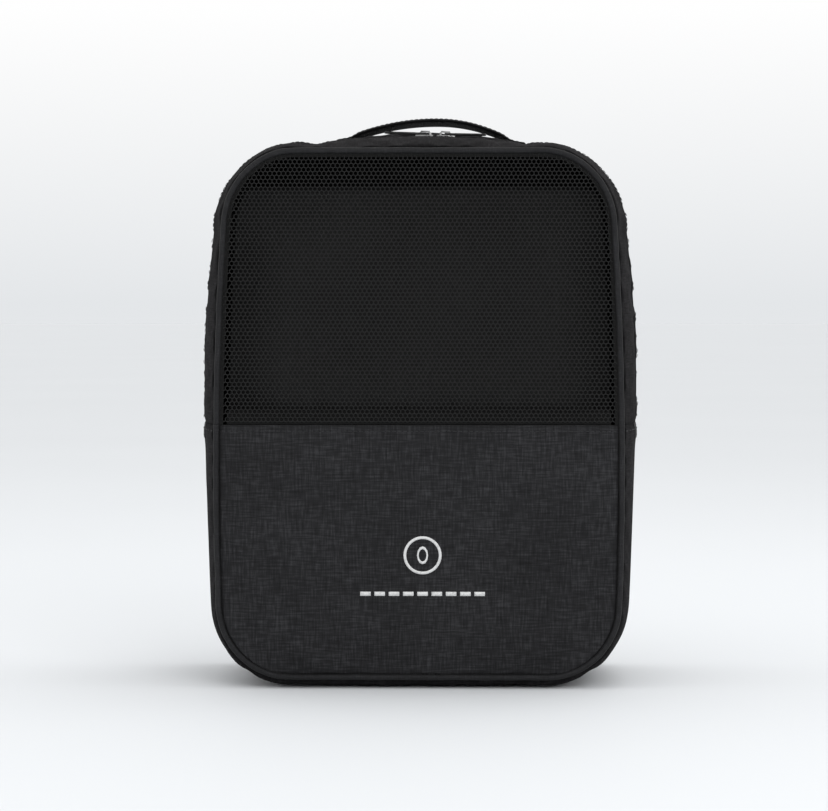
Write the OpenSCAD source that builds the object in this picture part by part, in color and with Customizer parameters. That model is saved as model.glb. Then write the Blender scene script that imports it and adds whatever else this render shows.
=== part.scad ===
// Soft travel shoe bag: a stuffed fabric box with a mesh window flap, a piped front and back,
// a double-slider coil zip round its upper half, a strap handle and an inner divider.
// +X is to the right of the bag, -Y is its front, +Z is up. The bag stands on z = 0.

/* [Body] */
// Width of the front and back panels, over the piping
panel_w = 238; // [200:1:286]
// Height of the front and back panels, over the piping
panel_h = 308; // [256:1:370]
// Depth of the bag, over both pipings
bag_d = 125; // [104:1:150]
// Corner radius of the panels, over the piping
corner_r = 42; // [33:1:50]
// Height of the piping above the ground
base_lift = 5; // [3:0.5:8]
// Height at which the panels are widest
wide_z = 125; // [90:1:160]
// How far each side draws in from there to the top
side_draw = 8.2; // [4:0.1:12]
// Height of the seam between the mesh window and the lower front panel
fold_z = 153; // [130:1:175]

/* [Walls] */
// Thickness of a gusset wall, fabric and foam together
wall_t = 2.4; // [1.6:0.1:3.2]
// Thickness of a panel's outer fabric
fabric_t = 1; // [0.6:0.1:1.4]
// Thickness of a panel's foam sheet
foam_t = 2.5; // [1.5:0.1:4]
// Thickness of a panel's lining
lining_t = 0.6; // [0.4:0.1:1]
// Thickness of the mesh window
mesh_t = 1.2; // [0.8:0.1:2]
// Diameter of the piping
piping_d = 3.6; // [2.6:0.1:4.6]
// How far the piping stands in front of the panel
piping_proud = 1; // [0.4:0.1:1.6]
// Height of the seam binding inside, along the wall
binding_h = 8; // [6:0.5:11]
// Thickness of the folded seam binding
binding_t = 2; // [1.4:0.1:2.8]
// Gap between pieces that are sewn face to face
seam_gap = 0.15; // [0.1:0.05:0.3]

/* [Stuffing] */
// How far the top of the gusset swells past the panels
top_swell = 10.5; // [7:0.5:15]
// How far the upper sides swell
side_swell = 11; // [7:0.5:15]
// How far the lower sides swell
low_swell = 7.5; // [5:0.5:10]
// How far the corners swell
corner_swell = 5.5; // [3:0.5:8]
// Radius of the arc along which the top rises to its middle
dome_r = 340; // [280:5:450]
// Height at which the sides swell most
swell_z = 198; // [160:1:230]
// Spread of that swelling, up and down
swell_span = 75; // [50:1:110]

/* [Zip] */
// Distance of the zip's centre line behind the front of the bag
zip_back = 45; // [38:1:52]
// How far the zip lies below the gusset beside it
zip_dip = 0.8; // [0.6:0.1:1.4]
// Half the slit between the gusset bands, where the zip shows
slit_half = 6; // [5.4:0.1:8]
// Width of one coil
coil_w = 2.4; // [2:0.1:3]
// Height of the coil above its tape
coil_h = 2; // [1.6:0.1:2.6]
// Thickness of the zip tape
tape_t = 0.7; // [0.5:0.1:1]
// Reach of each tape from the centre line
tape_reach = 14; // [11:0.5:18]
// Place where the two sliders meet, right of the middle
meet_x = 9; // [-12:1:16]
// Length of a slider
slider_l = 11.5; // [10:0.1:14]
// Half width of the post between a slider's plates
post_half = 1.1; // [0.8:0.1:1.4]
// Thickness of a slider's plates
plate_t = 1; // [0.8:0.1:1.4]
// Free play round the coils inside a slider
slider_play = 0.3; // [0.25:0.05:0.4]
// Length of a pull tab
pull_l = 24; // [16:1:30]
// Width of a pull tab
pull_w = 6.6; // [6:0.1:8]
// Thickness of a pull tab
pull_t = 1.2; // [1:0.1:1.6]

/* [Handle] */
// Length of the handle strap, end to end
handle_l = 114; // [92:1:120]
// Width of the handle strap
handle_w = 25; // [18:1:30]
// Thickness of the padded handle strap
handle_t = 3; // [2:0.1:4]
// Place of the strap's middle, right of the middle of the bag
handle_x = 6; // [-8:1:8]
// Height of the arch under the strap
handle_rise = 7; // [4:0.5:20]
// Place of the strap's highest point, right of the strap's middle
handle_peak = 8; // [-12:1:12]
// Length of each end that is sewn down
handle_sewn = 10; // [8:1:20]
// Distance of the strap's centre line behind the front of the bag
handle_back = 78; // [72:1:84]
// Thickness of the patch under each sewn end
patch_t = 0.8; // [0.5:0.1:1.2]

/* [Inside] */
// Distance of the divider's edge behind the front of the bag
divider_back = 24; // [20:1:28]
// Thickness of the divider
divider_t = 2; // [1.4:0.1:3]
// Gap between the divider's edge and the panel outline
divider_inset = 7; // [5:0.5:10]
// Gap between the swollen middle of the divider and the mesh window
divider_near = 4; // [3:0.5:8]
// Distance of the divider's top edge below the top of the panels
divider_drop = 22; // [14:1:40]
// Thickness of the board in the base
board_t = 2; // [1.5:0.1:3]

/* [Hidden] */

front_y = -bag_d / 2;
back_y = bag_d / 2;
top_z = base_lift + panel_h;
half_w = panel_w / 2;
corner_x = half_w - corner_r;
// The gusset's edges lie against the piping, and its outer face starts just inside the panel outline.
gusset_y0 = front_y + piping_d + seam_gap;
gusset_y1 = -gusset_y0;
edge_in = 0.4;
// The zip, the sliders and the handle keep to the domed stretch of the top.
track_half = min(handle_l / 2 + 4, corner_x - 12);
zip_y = front_y + zip_back;
handle_y = front_y + handle_back;
ground_skim = 0.2;
side_fullness = 0.75;
base_fullness = 0.3;
outer_t = wall_t - lining_t - seam_gap;
panel_y = front_y + piping_proud;
panel_inset = piping_d + seam_gap;
stack_t = fabric_t + foam_t + lining_t + 2 * seam_gap;
coil_lift = 0.25;
// How far a coil moves aside to pass a slider's post.
post_part = post_half - seam_gap + slider_play / 2;
corner_steps = 8;
side_steps = 7;
top_steps = 8;
base_cols = 12;

function mix(a, b, k) = a + (b - a) * k;
function clamp01(k) = min(1, max(0, k));
function ease(k) = let (c = clamp01(k)) c * c * (3 - 2 * c);
function bell(q) = exp(-q * q);

// ---- Outline of the panels. A station is [x, z, nx, nz]: a place and its outward direction. ----

function arc_run(cx, cz, from, to) = [
    for (i = [0 : corner_steps])
        let (a = mix(from, to, i / corner_steps))
            [cx + corner_r * cos(a), cz + corner_r * sin(a), cos(a), sin(a)]
];
function side_run(x, from, to) = [
    for (i = [0 : side_steps - 1])
        [x, mix(from, to, i / side_steps), sign(x), 0]
];
function level_run(z, xs, dir) = [for (x = xs) [x, z, 0, dir]];
function spread(from, to, steps) = [for (i = [1 : steps - 1]) mix(from, to, i / steps)];

// Upper run: from the fold on the right, over the top, to the fold on the left.
function upper_run(gap = 0, xs = top_xs) = concat(
    side_run(half_w, fold_z + gap, top_z - corner_r),
    arc_run(corner_x, top_z - corner_r, 0, 90),
    level_run(top_z, xs, 1),
    arc_run(-corner_x, top_z - corner_r, 90, 180),
    reverse(side_run(-half_w, fold_z + gap, top_z - corner_r))
);
// Lower run: from the fold on the left, under the base, to the fold on the right.
function lower_run(gap = 0) = concat(
    side_run(-half_w, fold_z - gap, base_lift + corner_r),
    arc_run(-corner_x, base_lift + corner_r, 180, 270),
    level_run(base_lift, spread(-corner_x, corner_x, top_steps), -1),
    arc_run(corner_x, base_lift + corner_r, 270, 360),
    reverse(side_run(half_w, fold_z - gap, base_lift + corner_r))
);
function reverse(list) = [for (i = [len(list) - 1 : -1 : 0]) list[i]];
// The draw at the top is undone here, so that places along the dome are true ones.
top_narrow = narrowing(top_z + top_swell / 2);
function dome_xs(xs) = [for (x = xs) x / top_narrow];
top_xs = dome_xs(concat([track_half], spread(track_half, -track_half, top_steps), [-track_half]));

// The panels narrow gently away from their widest height.
function narrowing(z) = 1 - side_draw / half_w * pow((z - wide_z) / (top_z - wide_z), 2);
function place(s, out, y) = let (z = s[1] + s[3] * out) [(s[0] + s[2] * out) * narrowing(z), y, z];

// ---- Swelling of the stuffed gusset ----

function side_swell_at(z) = mix(low_swell, side_swell, bell((z - swell_z) / swell_span));
function dome_drop(x) = dome_r - sqrt(dome_r * dome_r - x * x);
function top_swell_at(x) =
    let (end = top_swell - dome_drop(track_half), past = abs(x) - track_half)
        past < 0 ? top_swell - dome_drop(x)
            : mix(end, corner_swell, ease(past / (corner_x * top_narrow - track_half)));
base_swell = base_lift + edge_in - ground_skim;
function swell(s) = corner_swell
    + s[2] * s[2] * (side_swell_at(s[1]) - corner_swell)
    + s[3] * s[3] * ((s[3] > 0 ? top_swell_at(s[0] * top_narrow) : base_swell) - corner_swell);
// The base lies flat on the ground, so its section is fuller than that of the sides.
function fullness(s) = mix(side_fullness, base_fullness, max(0, -s[3]));
function across(y) = clamp01((y - gusset_y0) / (gusset_y1 - gusset_y0));
function skin(s, y) = swell(s) * pow(sin(180 * across(y)), fullness(s)) - edge_in;

// ---- Solids ----

// A solid through rings of points. Each ring runs along one side and back along the other. The quads
// of both sides are split the same way, so that walls lying face to face follow each other.
module loft(rings, closed = false) {
    n = len(rings[0]);
    m = len(rings);
    last = closed ? m - 1 : m - 2;
    sides = [
        for (i = [0 : last], j = [0 : n - 1])
            let (a = i * n, b = ((i + 1) % m) * n, k = (j + 1) % n)
                each j < n / 2
                    ? [[a + j, b + j, b + k], [a + j, b + k, a + k]]
                    : [[a + j, b + j, a + k], [b + j, b + k, a + k]]
    ];
    caps = closed ? [] : [
        for (j = [0 : n / 2 - 2])
            let (e = (m - 1) * n)
                each [
                    [j, j + 1, n - 2 - j], [j, n - 2 - j, n - 1 - j],
                    [e + j, e + n - 2 - j, e + j + 1], [e + j, e + n - 1 - j, e + n - 2 - j]
                ]
    ];
    polyhedron(points = [for (r = rings) each r], faces = concat(sides, caps));
}

// One ring of a band that follows the gusset's skin from y0 to y1, raised by lift.
function band_ring(s, y0, y1, cols, lift, t) = concat(
    [for (j = [0 : cols]) let (y = mix(y0, y1, j / cols)) place(s, skin(s, y) + lift, y)],
    [for (j = [cols : -1 : 0]) let (y = mix(y0, y1, j / cols)) place(s, skin(s, y) + lift - t, y)]
);

module band(run, y0, y1, cols, lift, t) {
    loft([for (s = run) band_ring(s, y0, y1, cols, lift, t)]);
}

// A flat sheet of the given outline, between two depths.
module sheet(outline, y0, y1) {
    translate([0, y1, 0])
        rotate([90, 0, 0])
            linear_extrude(y1 - y0)
                polygon(outline);
}

function outline(run, inset) = [for (s = run) let (p = place(s, -inset, 0)) [p.x, p.z]];

// A round cord along the panel's edge.
module cord_along(run, y, closed = false) {
    r = piping_d / 2;
    loft(
        [for (s = run) [for (a = [0 : 45 : 315]) place(s, r * cos(a) - r, y + r * sin(a))]],
        closed
    );
}

// A seam binding stands on the wall's inner face, behind the panel.
module binding(run, y0, y1, closed = false) {
    out = -wall_t - edge_in - 2 * seam_gap;
    loft(
        [for (s = run) [
            place(s, out, y0), place(s, out, y1),
            place(s, out - binding_t, y1), place(s, out - binding_t, y0)
        ]],
        closed
    );
}

function whole_run() = concat(upper_run(), lower_run());
// The back's piping and binding are closed loops, so no station is given twice.
function loop_run() = [
    for (i = [0 : len(whole_run()) - 1])
        if (norm(whole_run()[i] - whole_run()[(i + 1) % len(whole_run())]) > 0.01) whole_run()[i]
];

// ---- Back ----

module back_layer(depth, t, inset) {
    sheet(outline(loop_run(), inset), -panel_y - depth - t, -panel_y - depth);
}
module back_panel() {
    color("#2b2b2e") back_layer(0, fabric_t, panel_inset);
}
module back_foam() {
    color("#d8d8d4") back_layer(fabric_t + seam_gap, foam_t, panel_inset);
}
module back_lining() {
    color("#3c3c40") back_layer(stack_t - lining_t, lining_t, panel_inset);
}
module back_piping() {
    color("#1d1d20") cord_along(loop_run(), back_y - piping_d / 2, true);
}
module back_binding() {
    y = -panel_y - stack_t - seam_gap;
    color("#161618") binding(loop_run(), y - binding_h, y, true);
}

// ---- Lower front ----

module front_layer(depth, t) {
    sheet(outline(lower_run(seam_gap), panel_inset), panel_y + depth, panel_y + depth + t);
}
module lower_front_panel() {
    color("#2b2b2e") front_layer(0, fabric_t);
}
module lower_front_foam() {
    color("#d8d8d4") front_layer(fabric_t + seam_gap, foam_t);
}
module lower_front_lining() {
    color("#3c3c40") front_layer(stack_t - lining_t, lining_t);
}
module lower_front_piping() {
    color("#1d1d20") cord_along(lower_run(seam_gap), front_y + piping_d / 2);
}
module lower_front_binding() {
    y = panel_y + stack_t + seam_gap;
    color("#161618") binding(lower_run(seam_gap), y, y + binding_h);
}

// ---- Gusset walls of the body ----

module base_gusset() {
    foot_x = corner_x - 6;
    foot_y = gusset_y1 - 22;
    foot_t = 1.5;
    color("#29292c") {
        band(lower_run(seam_gap), gusset_y0, gusset_y1, base_cols, 0, outer_t);
        // Where the base lies on the ground it is pressed flat.
        translate([-foot_x, -foot_y, 0]) cube([2 * foot_x, 2 * foot_y, foot_t]);
    }
}
module base_lining() {
    color("#3c3c40")
        band(lower_run(seam_gap), gusset_y0, gusset_y1, base_cols, -outer_t - seam_gap, lining_t);
}
module rear_band(lift, t) {
    band(upper_run(seam_gap), zip_y + slit_half, gusset_y1, 7, lift, t);
}
module rear_gusset() {
    color("#29292c") rear_band(0, outer_t);
}
module rear_gusset_lining() {
    color("#3c3c40") rear_band(-outer_t - seam_gap, lining_t);
}
// The board's long edges rest on the lining, where the base begins to curve up.
board_half = gusset_y1 - 14;
board_z = base_lift - skin([0, base_lift, 0, -1], board_half) + wall_t + seam_gap;
module base_board() {
    r = 12;
    x = corner_x - 6;
    y = board_half;
    color("#1a1a1a")
        translate([0, 0, board_z])
            difference() {
                translate([-x, -y, 0]) cube([2 * x, 2 * y, board_t]);
                for (sx = [-1, 1], sy = [-1, 1])
                    translate([sx * (x - r), sy * (y - r), -1])
                        difference() {
                            translate([sx > 0 ? 0 : -r - 1, sy > 0 ? 0 : -r - 1, 0])
                                cube([r + 1, r + 1, board_t + 2]);
                            cylinder(r = r, h = board_t + 2, $fn = 48);
                        }
            }
}
// A folded tab closes each end of the zip, over the seam of the two gussets.
module zip_end_tabs() {
    tab_h = 9;
    tab_t = 1.2;
    half = slit_half + 8;
    for (side = [-1, 1])
        color("#232326")
            loft([
                for (k = [0 : 3])
                    let (s = [side * half_w, fold_z - seam_gap - tab_h * (side > 0 ? 3 - k : k) / 3, side, 0])
                        band_ring(s, zip_y - half, zip_y + half, 4, seam_gap + tab_t, tab_t)
            ]);
}

// ---- Zip ----

// Each tape is level where the sliders run, and then follows the gusset's underside.
function tape_skin(s, y) =
    (abs(y - zip_y) < slit_half ? skin(s, zip_y) - zip_dip : skin(s, y)) - wall_t - seam_gap;
module zip_tape(side) {
    post_room = 0.2;
    level_end = slit_half - 0.5;
    reaches = [post_half + post_room, level_end, slit_half + 1.5, tape_reach];
    ys = [for (k = [0 : 3]) zip_y + side * reaches[side > 0 ? k : 3 - k]];
    color("#19191b")
        loft([
            for (s = upper_run(seam_gap))
                concat(
                    [for (y = ys) place(s, tape_skin(s, y), y)],
                    reverse([for (y = ys) place(s, tape_skin(s, y) - tape_t, y)])
                )
        ]);
}
// The coils lie side by side, and part to pass the posts of the two sliders. They are whole again
// where each slider's tail ends.
coil_xs = dome_xs(concat(
    [track_half],
    spread(track_half, meet_x + slider_l, 3),
    [for (k = [1, 0.85, 0.7, 0.55, 0, -0.55, -0.7, -0.85, -1]) meet_x + k * slider_l],
    spread(meet_x - slider_l, -track_half, 4),
    [-track_half]
));
function parting(s) =
    let (k = abs(s[0] * top_narrow - meet_x) / slider_l)
        s[3] > 0.99 ? post_part * ease((0.95 - k) / 0.4) : 0;
module zip_coil(side) {
    color("#111113")
        loft([
            for (s = upper_run(seam_gap, coil_xs))
                let (
                    near = zip_y + side * (seam_gap + parting(s)),
                    far = near + side * coil_w,
                    foot = tape_skin(s, zip_y) + coil_lift
                )
                    [
                        place(s, foot + coil_h, min(near, far)), place(s, foot + coil_h, max(near, far)),
                        place(s, foot, max(near, far)), place(s, foot, min(near, far))
                    ]
        ]);
}
module rear_zip_tape() { zip_tape(1); }
module rear_zip_coil() { zip_coil(1); }
module flap_zip_tape() { zip_tape(-1); }
module flap_zip_coil() { zip_coil(-1); }

// ---- Sliders: drawn at the top of the dome, with the nose, where the coils part, towards +X ----

tape_top = top_z + tape_skin([0, top_z, 0, 1], zip_y);
// The zip runs behind the crest of the top, so it follows a flatter arc than the dome.
track_r = dome_r / pow(sin(180 * across(zip_y)), side_fullness);
plate_z = tape_top + coil_lift + coil_h + slider_play;
under_z = tape_top - tape_t - slider_play;
tail_half = seam_gap + coil_w + slider_play + 0.8;
nose_half = tail_half + post_part;
lug_h = 1.9;
pin_r = 0.6;
pin_z = plate_z + plate_t + pull_t / 2 + 0.3;

function shield(grow) = concat(
    [[0, -tail_half - grow], [slider_l * 0.45, -nose_half - grow]],
    [for (a = [-60 : 20 : 60]) [slider_l - 2.6 + 2.6 * cos(a), (nose_half + grow) * sin(a) / sin(60)]],
    [[slider_l * 0.45, nose_half + grow], [0, tail_half + grow]]
);
module slider_body() {
    flange_t = 0.8;
    lug_w = 2.2;
    difference() {
        union() {
            translate([0, 0, plate_z]) linear_extrude(plate_t) polygon(shield(0));
            translate([0, 0, under_z - plate_t]) linear_extrude(plate_t) polygon(shield(0));
            // The flanges keep the coils in and leave a slot for the tapes.
            translate([0, 0, tape_top + 0.35])
                linear_extrude(plate_z - tape_top)
                    difference() {
                        polygon(shield(0));
                        polygon([for (p = shield(-flange_t)) [p.x * 1.2 - slider_l * 0.1, p.y]]);
                    }
            // The post that parts the coils joins the two plates.
            translate([slider_l - 3.2, 0, under_z - plate_t / 2])
                linear_extrude(plate_z - under_z + plate_t)
                    polygon([[-1.6, 0], [0, -post_half], [2.2, -post_half], [2.2, post_half], [0, post_half]]);
            // The bridge that holds the pull.
            translate([slider_l * 0.5 - 3.6, -lug_w / 2, plate_z + plate_t / 2])
                cube([7.2, lug_w, lug_h + plate_t / 2 + 0.7]);
        }
        translate([slider_l * 0.5 - 2.4, -lug_w, plate_z + plate_t])
            cube([4.8, 2 * lug_w, lug_h - 0.1]);
        // Round shoulders on the bridge.
        for (k = [-1, 1])
            translate([slider_l * 0.5 + k * 3.6, 0, plate_z + plate_t + lug_h + 0.7])
                rotate([90, 0, 0])
                    cylinder(r = 1, h = 2 * lug_w, center = true, $fn = 32);
    }
}
// The pull hangs on a pin under the bridge and lies back over the slider's tail.
module pull_body() {
    arm_y = 1.9;
    arm_w = 1;
    arm_l = 6.5;
    tip_r = pull_w / 2;
    translate([slider_l * 0.5, 0, pin_z]) {
        rotate([90, 0, 0]) cylinder(r = pin_r, h = 2 * arm_y + arm_w, center = true, $fn = 32);
        difference() {
            union() {
                for (k = [-1, 1])
                    translate([-arm_l, k * arm_y - arm_w / 2, -pull_t / 2])
                        cube([arm_l + pin_r, arm_w, pull_t]);
                translate([-pull_l + tip_r, -pull_w / 2, -pull_t / 2])
                    cube([pull_l - tip_r - arm_l + 1, pull_w, pull_t]);
                translate([-pull_l + tip_r, 0, 0])
                    cylinder(r = tip_r, h = pull_t, center = true, $fn = 48);
            }
            translate([-pull_l + tip_r, 0, 0])
                cylinder(r = tip_r * 0.45, h = pull_t * 2, center = true, $fn = 32);
        }
    }
}
// The two sliders meet nose to nose on the arc.
module on_track(side) {
    turn = asin(meet_x / track_r) - side * (slider_l / 2 + seam_gap) / track_r * 180 / PI;
    translate([0, zip_y, tape_top - track_r])
        rotate([0, turn, 0])
            mirror([side > 0 ? 0 : 1, 0, 0])
                translate([-slider_l / 2, 0, track_r - tape_top])
                    children();
}
module left_slider() { color("#3a3a3d") on_track(1) slider_body(); }
module left_pull() { color("#3a3a3d") on_track(1) pull_body(); }
module right_slider() { color("#3a3a3d") on_track(-1) slider_body(); }
module right_pull() { color("#3a3a3d") on_track(-1) pull_body(); }

// ---- Flap ----

module mesh_window() {
    color("#161617") sheet(outline(upper_run(seam_gap), panel_inset), panel_y, panel_y + mesh_t);
}
// The tape covers the raw edge of the mesh, inside and above the fold.
module window_seam_tape() {
    tape_h = 8;
    color("#161618")
        intersection() {
            sheet(
                outline(upper_run(seam_gap), panel_inset + binding_t + 2),
                panel_y + mesh_t + seam_gap,
                panel_y + mesh_t + seam_gap + 1
            );
            translate([-panel_w, front_y - 1, fold_z])
                cube([2 * panel_w, bag_d, tape_h]);
        }
}
module flap_piping() {
    color("#1d1d20") cord_along(upper_run(seam_gap), front_y + piping_d / 2);
}
module flap_binding() {
    color("#161618") binding(upper_run(seam_gap), gusset_y0, gusset_y0 + binding_h);
}
module flap_band(lift, t) {
    band(upper_run(seam_gap), gusset_y0, zip_y - slit_half, 5, lift, t);
}
module flap_gusset() {
    color("#29292c") flap_band(0, outer_t);
}
module flap_gusset_lining() {
    color("#3c3c40") flap_band(-outer_t - seam_gap, lining_t);
}

// ---- Handle ----

handle_z = patch_t + 2 * seam_gap;
handle_free = handle_l / 2 - handle_sewn;
function handle_arch(x) =
    let (
        off = x - handle_x - handle_peak,
        k = clamp01(abs(off) / (handle_free - sign(off) * handle_peak))
    ) handle_rise * (1 - k * k);
// A strap along the dome, from x0 to x1, with its underside raised by lift.
module dome_strap(x0, x1, steps, half, lift, t) {
    loft([
        for (i = [0 : steps])
            let (x = mix(x1, x0, i / steps), s = [x / top_narrow, top_z, 0, 1])
                band_ring(s, handle_y - half, handle_y + half, 4, lift + t + handle_arch(x), t)
    ]);
}
module handle_strap() {
    half_l = handle_l / 2;
    color("#232326") dome_strap(handle_x - half_l, handle_x + half_l, 28, handle_w / 2, handle_z, handle_t);
}
module handle_patches() {
    inner = handle_free + 1;
    outer = handle_l / 2 - 1;
    color("#1b1b1d") {
        dome_strap(handle_x + inner, handle_x + outer, 2, handle_w / 2 - 1, seam_gap, patch_t);
        dome_strap(handle_x - outer, handle_x - inner, 2, handle_w / 2 - 1, seam_gap, patch_t);
    }
}

// ---- Divider: its lower part is sewn to the walls, and its free upper part swells forwards ----

divider_y = front_y + divider_back;
divider_top = top_z - divider_drop;
divider_low = board_z + board_t + seam_gap;
divider_hold = fold_z - 25;
divider_cols = 12;
divider_edge_in = wall_t + 2 * seam_gap;
divider_reach = divider_back - piping_proud - mesh_t - divider_near;

// A row is [half width, height].
function held_row(s) = let (p = place(s, skin(s, divider_y) - divider_edge_in, 0)) [p.x, p.z];
low_turn = asin((base_lift + corner_r - divider_low) / (corner_r + base_swell - divider_edge_in));
function free_half(z) =
    let (r = corner_r - divider_inset, over = max(0, z - top_z + corner_r))
        (corner_x + sqrt(r * r - over * over)) * narrowing(z);
divider_rows = concat(
    [
        for (i = [0 : 5])
            let (a = mix(-low_turn, 0, i / 5))
                held_row([
                    corner_x + corner_r * cos(a), base_lift + corner_r + corner_r * sin(a), cos(a), sin(a)
                ])
    ],
    [for (i = [1 : 3]) held_row([half_w, mix(base_lift + corner_r, divider_hold, i / 3), 1, 0])],
    [
        for (i = [0 : 8])
            let (z = mix(fold_z, divider_top - binding_t - seam_gap, i / 8))
                [free_half(z), z]
    ]
);
function divider_swell(k, z) =
    divider_reach * ease((1 - abs(k)) / 0.3)
        * ease((z - divider_hold) / 45) * ease((divider_top - z) / 45);
function divider_side(row, back) = [
    for (j = [0 : divider_cols])
        let (k = mix(1, -1, j / divider_cols))
            [k * row[0], divider_y + back - divider_swell(k, row[1]), row[1]]
];
module divider_panel() {
    color("#2b2b2e")
        loft([
            for (row = divider_rows)
                concat(divider_side(row, 0), reverse(divider_side(row, divider_t)))
        ]);
}
module divider_binding() {
    half = free_half(divider_top) - 1;
    proud = 0.6;
    color("#161618")
        translate([-half, divider_y - proud, divider_top - binding_t])
            cube([2 * half, divider_t + 2 * proud, binding_t]);
}

back_panel();
back_foam();
back_lining();
back_piping();
back_binding();
lower_front_panel();
lower_front_foam();
lower_front_lining();
lower_front_piping();
lower_front_binding();
base_gusset();
base_lining();
rear_gusset();
rear_gusset_lining();
base_board();
zip_end_tabs();
rear_zip_tape();
rear_zip_coil();
divider_panel();
divider_binding();
handle_strap();
handle_patches();
mesh_window();
window_seam_tape();
flap_piping();
flap_binding();
flap_gusset();
flap_gusset_lining();
flap_zip_tape();
flap_zip_coil();
left_slider();
left_pull();
right_slider();
right_pull();
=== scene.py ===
import math
import bpy
import bmesh
import numpy as np
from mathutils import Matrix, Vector
from mathutils.bvhtree import BVHTree


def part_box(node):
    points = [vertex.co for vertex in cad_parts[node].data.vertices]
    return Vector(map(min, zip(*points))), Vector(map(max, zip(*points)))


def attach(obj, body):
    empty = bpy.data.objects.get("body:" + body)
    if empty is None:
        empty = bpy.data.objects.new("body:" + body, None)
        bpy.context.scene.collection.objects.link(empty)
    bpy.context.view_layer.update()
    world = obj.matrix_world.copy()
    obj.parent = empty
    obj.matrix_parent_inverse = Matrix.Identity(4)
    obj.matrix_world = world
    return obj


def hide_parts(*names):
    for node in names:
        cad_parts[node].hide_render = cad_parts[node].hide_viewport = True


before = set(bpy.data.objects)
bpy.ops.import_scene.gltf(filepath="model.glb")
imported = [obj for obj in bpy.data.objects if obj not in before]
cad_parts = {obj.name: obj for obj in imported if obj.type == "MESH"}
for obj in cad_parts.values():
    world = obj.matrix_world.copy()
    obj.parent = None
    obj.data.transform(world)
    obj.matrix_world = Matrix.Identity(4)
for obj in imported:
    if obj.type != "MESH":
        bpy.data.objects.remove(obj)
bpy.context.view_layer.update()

mm = 0.001
scene = bpy.context.scene


def corner(node, end, axis):  # one coordinate of a CAD node's box
    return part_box(node)[end]["xyz".index(axis)]


# the bag's own sizes, read from the frame
halfWide = corner("back_piping", 1, "x")
baseZ = corner("back_piping", 0, "z")
topZ = corner("back_piping", 1, "z")
frontY = corner("flap_piping", 0, "y")
backY = corner("back_piping", 1, "y")
pipingD = backY - corner("back_piping", 0, "y")
gussetFront = corner("flap_gusset", 0, "y")
gussetBack = corner("rear_gusset", 1, "y")
slitFront = corner("flap_gusset", 1, "y")
slitBack = corner("rear_gusset", 0, "y")
zipY = (slitFront + slitBack) / 2
foldZ = (corner("mesh_window", 0, "z") + corner("lower_front_panel", 1, "z")) / 2
panelY = corner("lower_front_panel", 0, "y")
strapHalfLong = (corner("handle_strap", 1, "x") - corner("handle_strap", 0, "x")) / 2
strapX = (corner("handle_strap", 1, "x") + corner("handle_strap", 0, "x")) / 2

bagShape = {
    "cornerRadius": 42 * mm, "sideDraw": 8.2 * mm, "wideHeight": 125 * mm,
    "topSwell": 10.5 * mm, "sideSwell": 11 * mm, "lowSwell": 7.5 * mm, "cornerSwell": 5.5 * mm,
    "swellHeight": 198 * mm, "swellSpan": 75 * mm, "domeRadius": 340 * mm, "edgeIn": 0.4 * mm,
    "baseSwell": baseZ + 0.2 * mm, "sideFullness": 0.75, "baseFullness": 0.17,
}
cornerX = halfWide - bagShape["cornerRadius"]
trackHalf = min(strapHalfLong + 4 * mm, cornerX - 12 * mm)


def ease(k):
    k = np.clip(k, 0, 1)
    return k * k * (3 - 2 * k)


def narrowing(z):
    lift = (z - bagShape["wideHeight"]) / (topZ - bagShape["wideHeight"])
    return 1 - bagShape["sideDraw"] / halfWide * lift ** 2


topNarrow = narrowing(topZ + bagShape["topSwell"] / 2)


# stations round the panels: x, z and the outward direction
def sideRun(x, z0, z1, step):
    n = max(2, round(abs(z1 - z0) / step))
    z = np.linspace(z0, z1, n, endpoint=False)
    z = np.insert(z, 1, z0 + np.sign(z1 - z0) * 1.2 * mm)  # the seam at the fold needs a close row
    return np.column_stack([np.full(n + 1, x), z, np.full(n + 1, np.sign(x)), np.zeros(n + 1)])


def arcRun(cx, cz, a0, a1, step):
    r = bagShape["cornerRadius"]
    n = max(3, round(r * math.radians(abs(a1 - a0)) / step))
    a = np.radians(np.linspace(a0, a1, n + 1))
    return np.column_stack([cx + r * np.cos(a), cz + r * np.sin(a), np.cos(a), np.sin(a)])


def levelRun(z, x0, x1, out, step):
    n = max(3, round(abs(x1 - x0) / step))
    x = np.linspace(x0, x1, n + 1)[1:-1]
    return np.column_stack([x, np.full(n - 1, z), np.zeros(n - 1), np.full(n - 1, out)])


def upperRun(step):  # from the fold on the right, over the top, to the fold on the left
    cz = topZ - bagShape["cornerRadius"]
    return np.vstack([
        sideRun(halfWide, foldZ, cz, step), arcRun(cornerX, cz, 0, 90, step),
        levelRun(topZ, cornerX, -cornerX, 1, step),
        arcRun(-cornerX, cz, 90, 180, step), sideRun(-halfWide, foldZ, cz, step)[::-1],
    ])


def lowerRun(step):  # from the fold on the left, under the base, to the fold on the right
    cz = baseZ + bagShape["cornerRadius"]
    return np.vstack([
        sideRun(-halfWide, foldZ, cz, step), arcRun(-cornerX, cz, 180, 270, step),
        levelRun(baseZ, -cornerX, cornerX, -1, step),
        arcRun(cornerX, cz, 270, 360, step), sideRun(halfWide, foldZ, cz, step)[::-1],
    ])


def loopRun(step):
    return np.vstack([upperRun(step), lowerRun(step)[1:-1]])


def topSwellAt(x):
    drop = lambda d: bagShape["domeRadius"] - np.sqrt(bagShape["domeRadius"] ** 2 - d ** 2)
    d = np.abs(x)
    end = bagShape["topSwell"] - drop(trackHalf)
    past = ease((d - trackHalf) / (cornerX * topNarrow - trackHalf))
    return np.where(d < trackHalf, bagShape["topSwell"] - drop(np.minimum(d, trackHalf)),
                    end + (bagShape["cornerSwell"] - end) * past)


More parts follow.
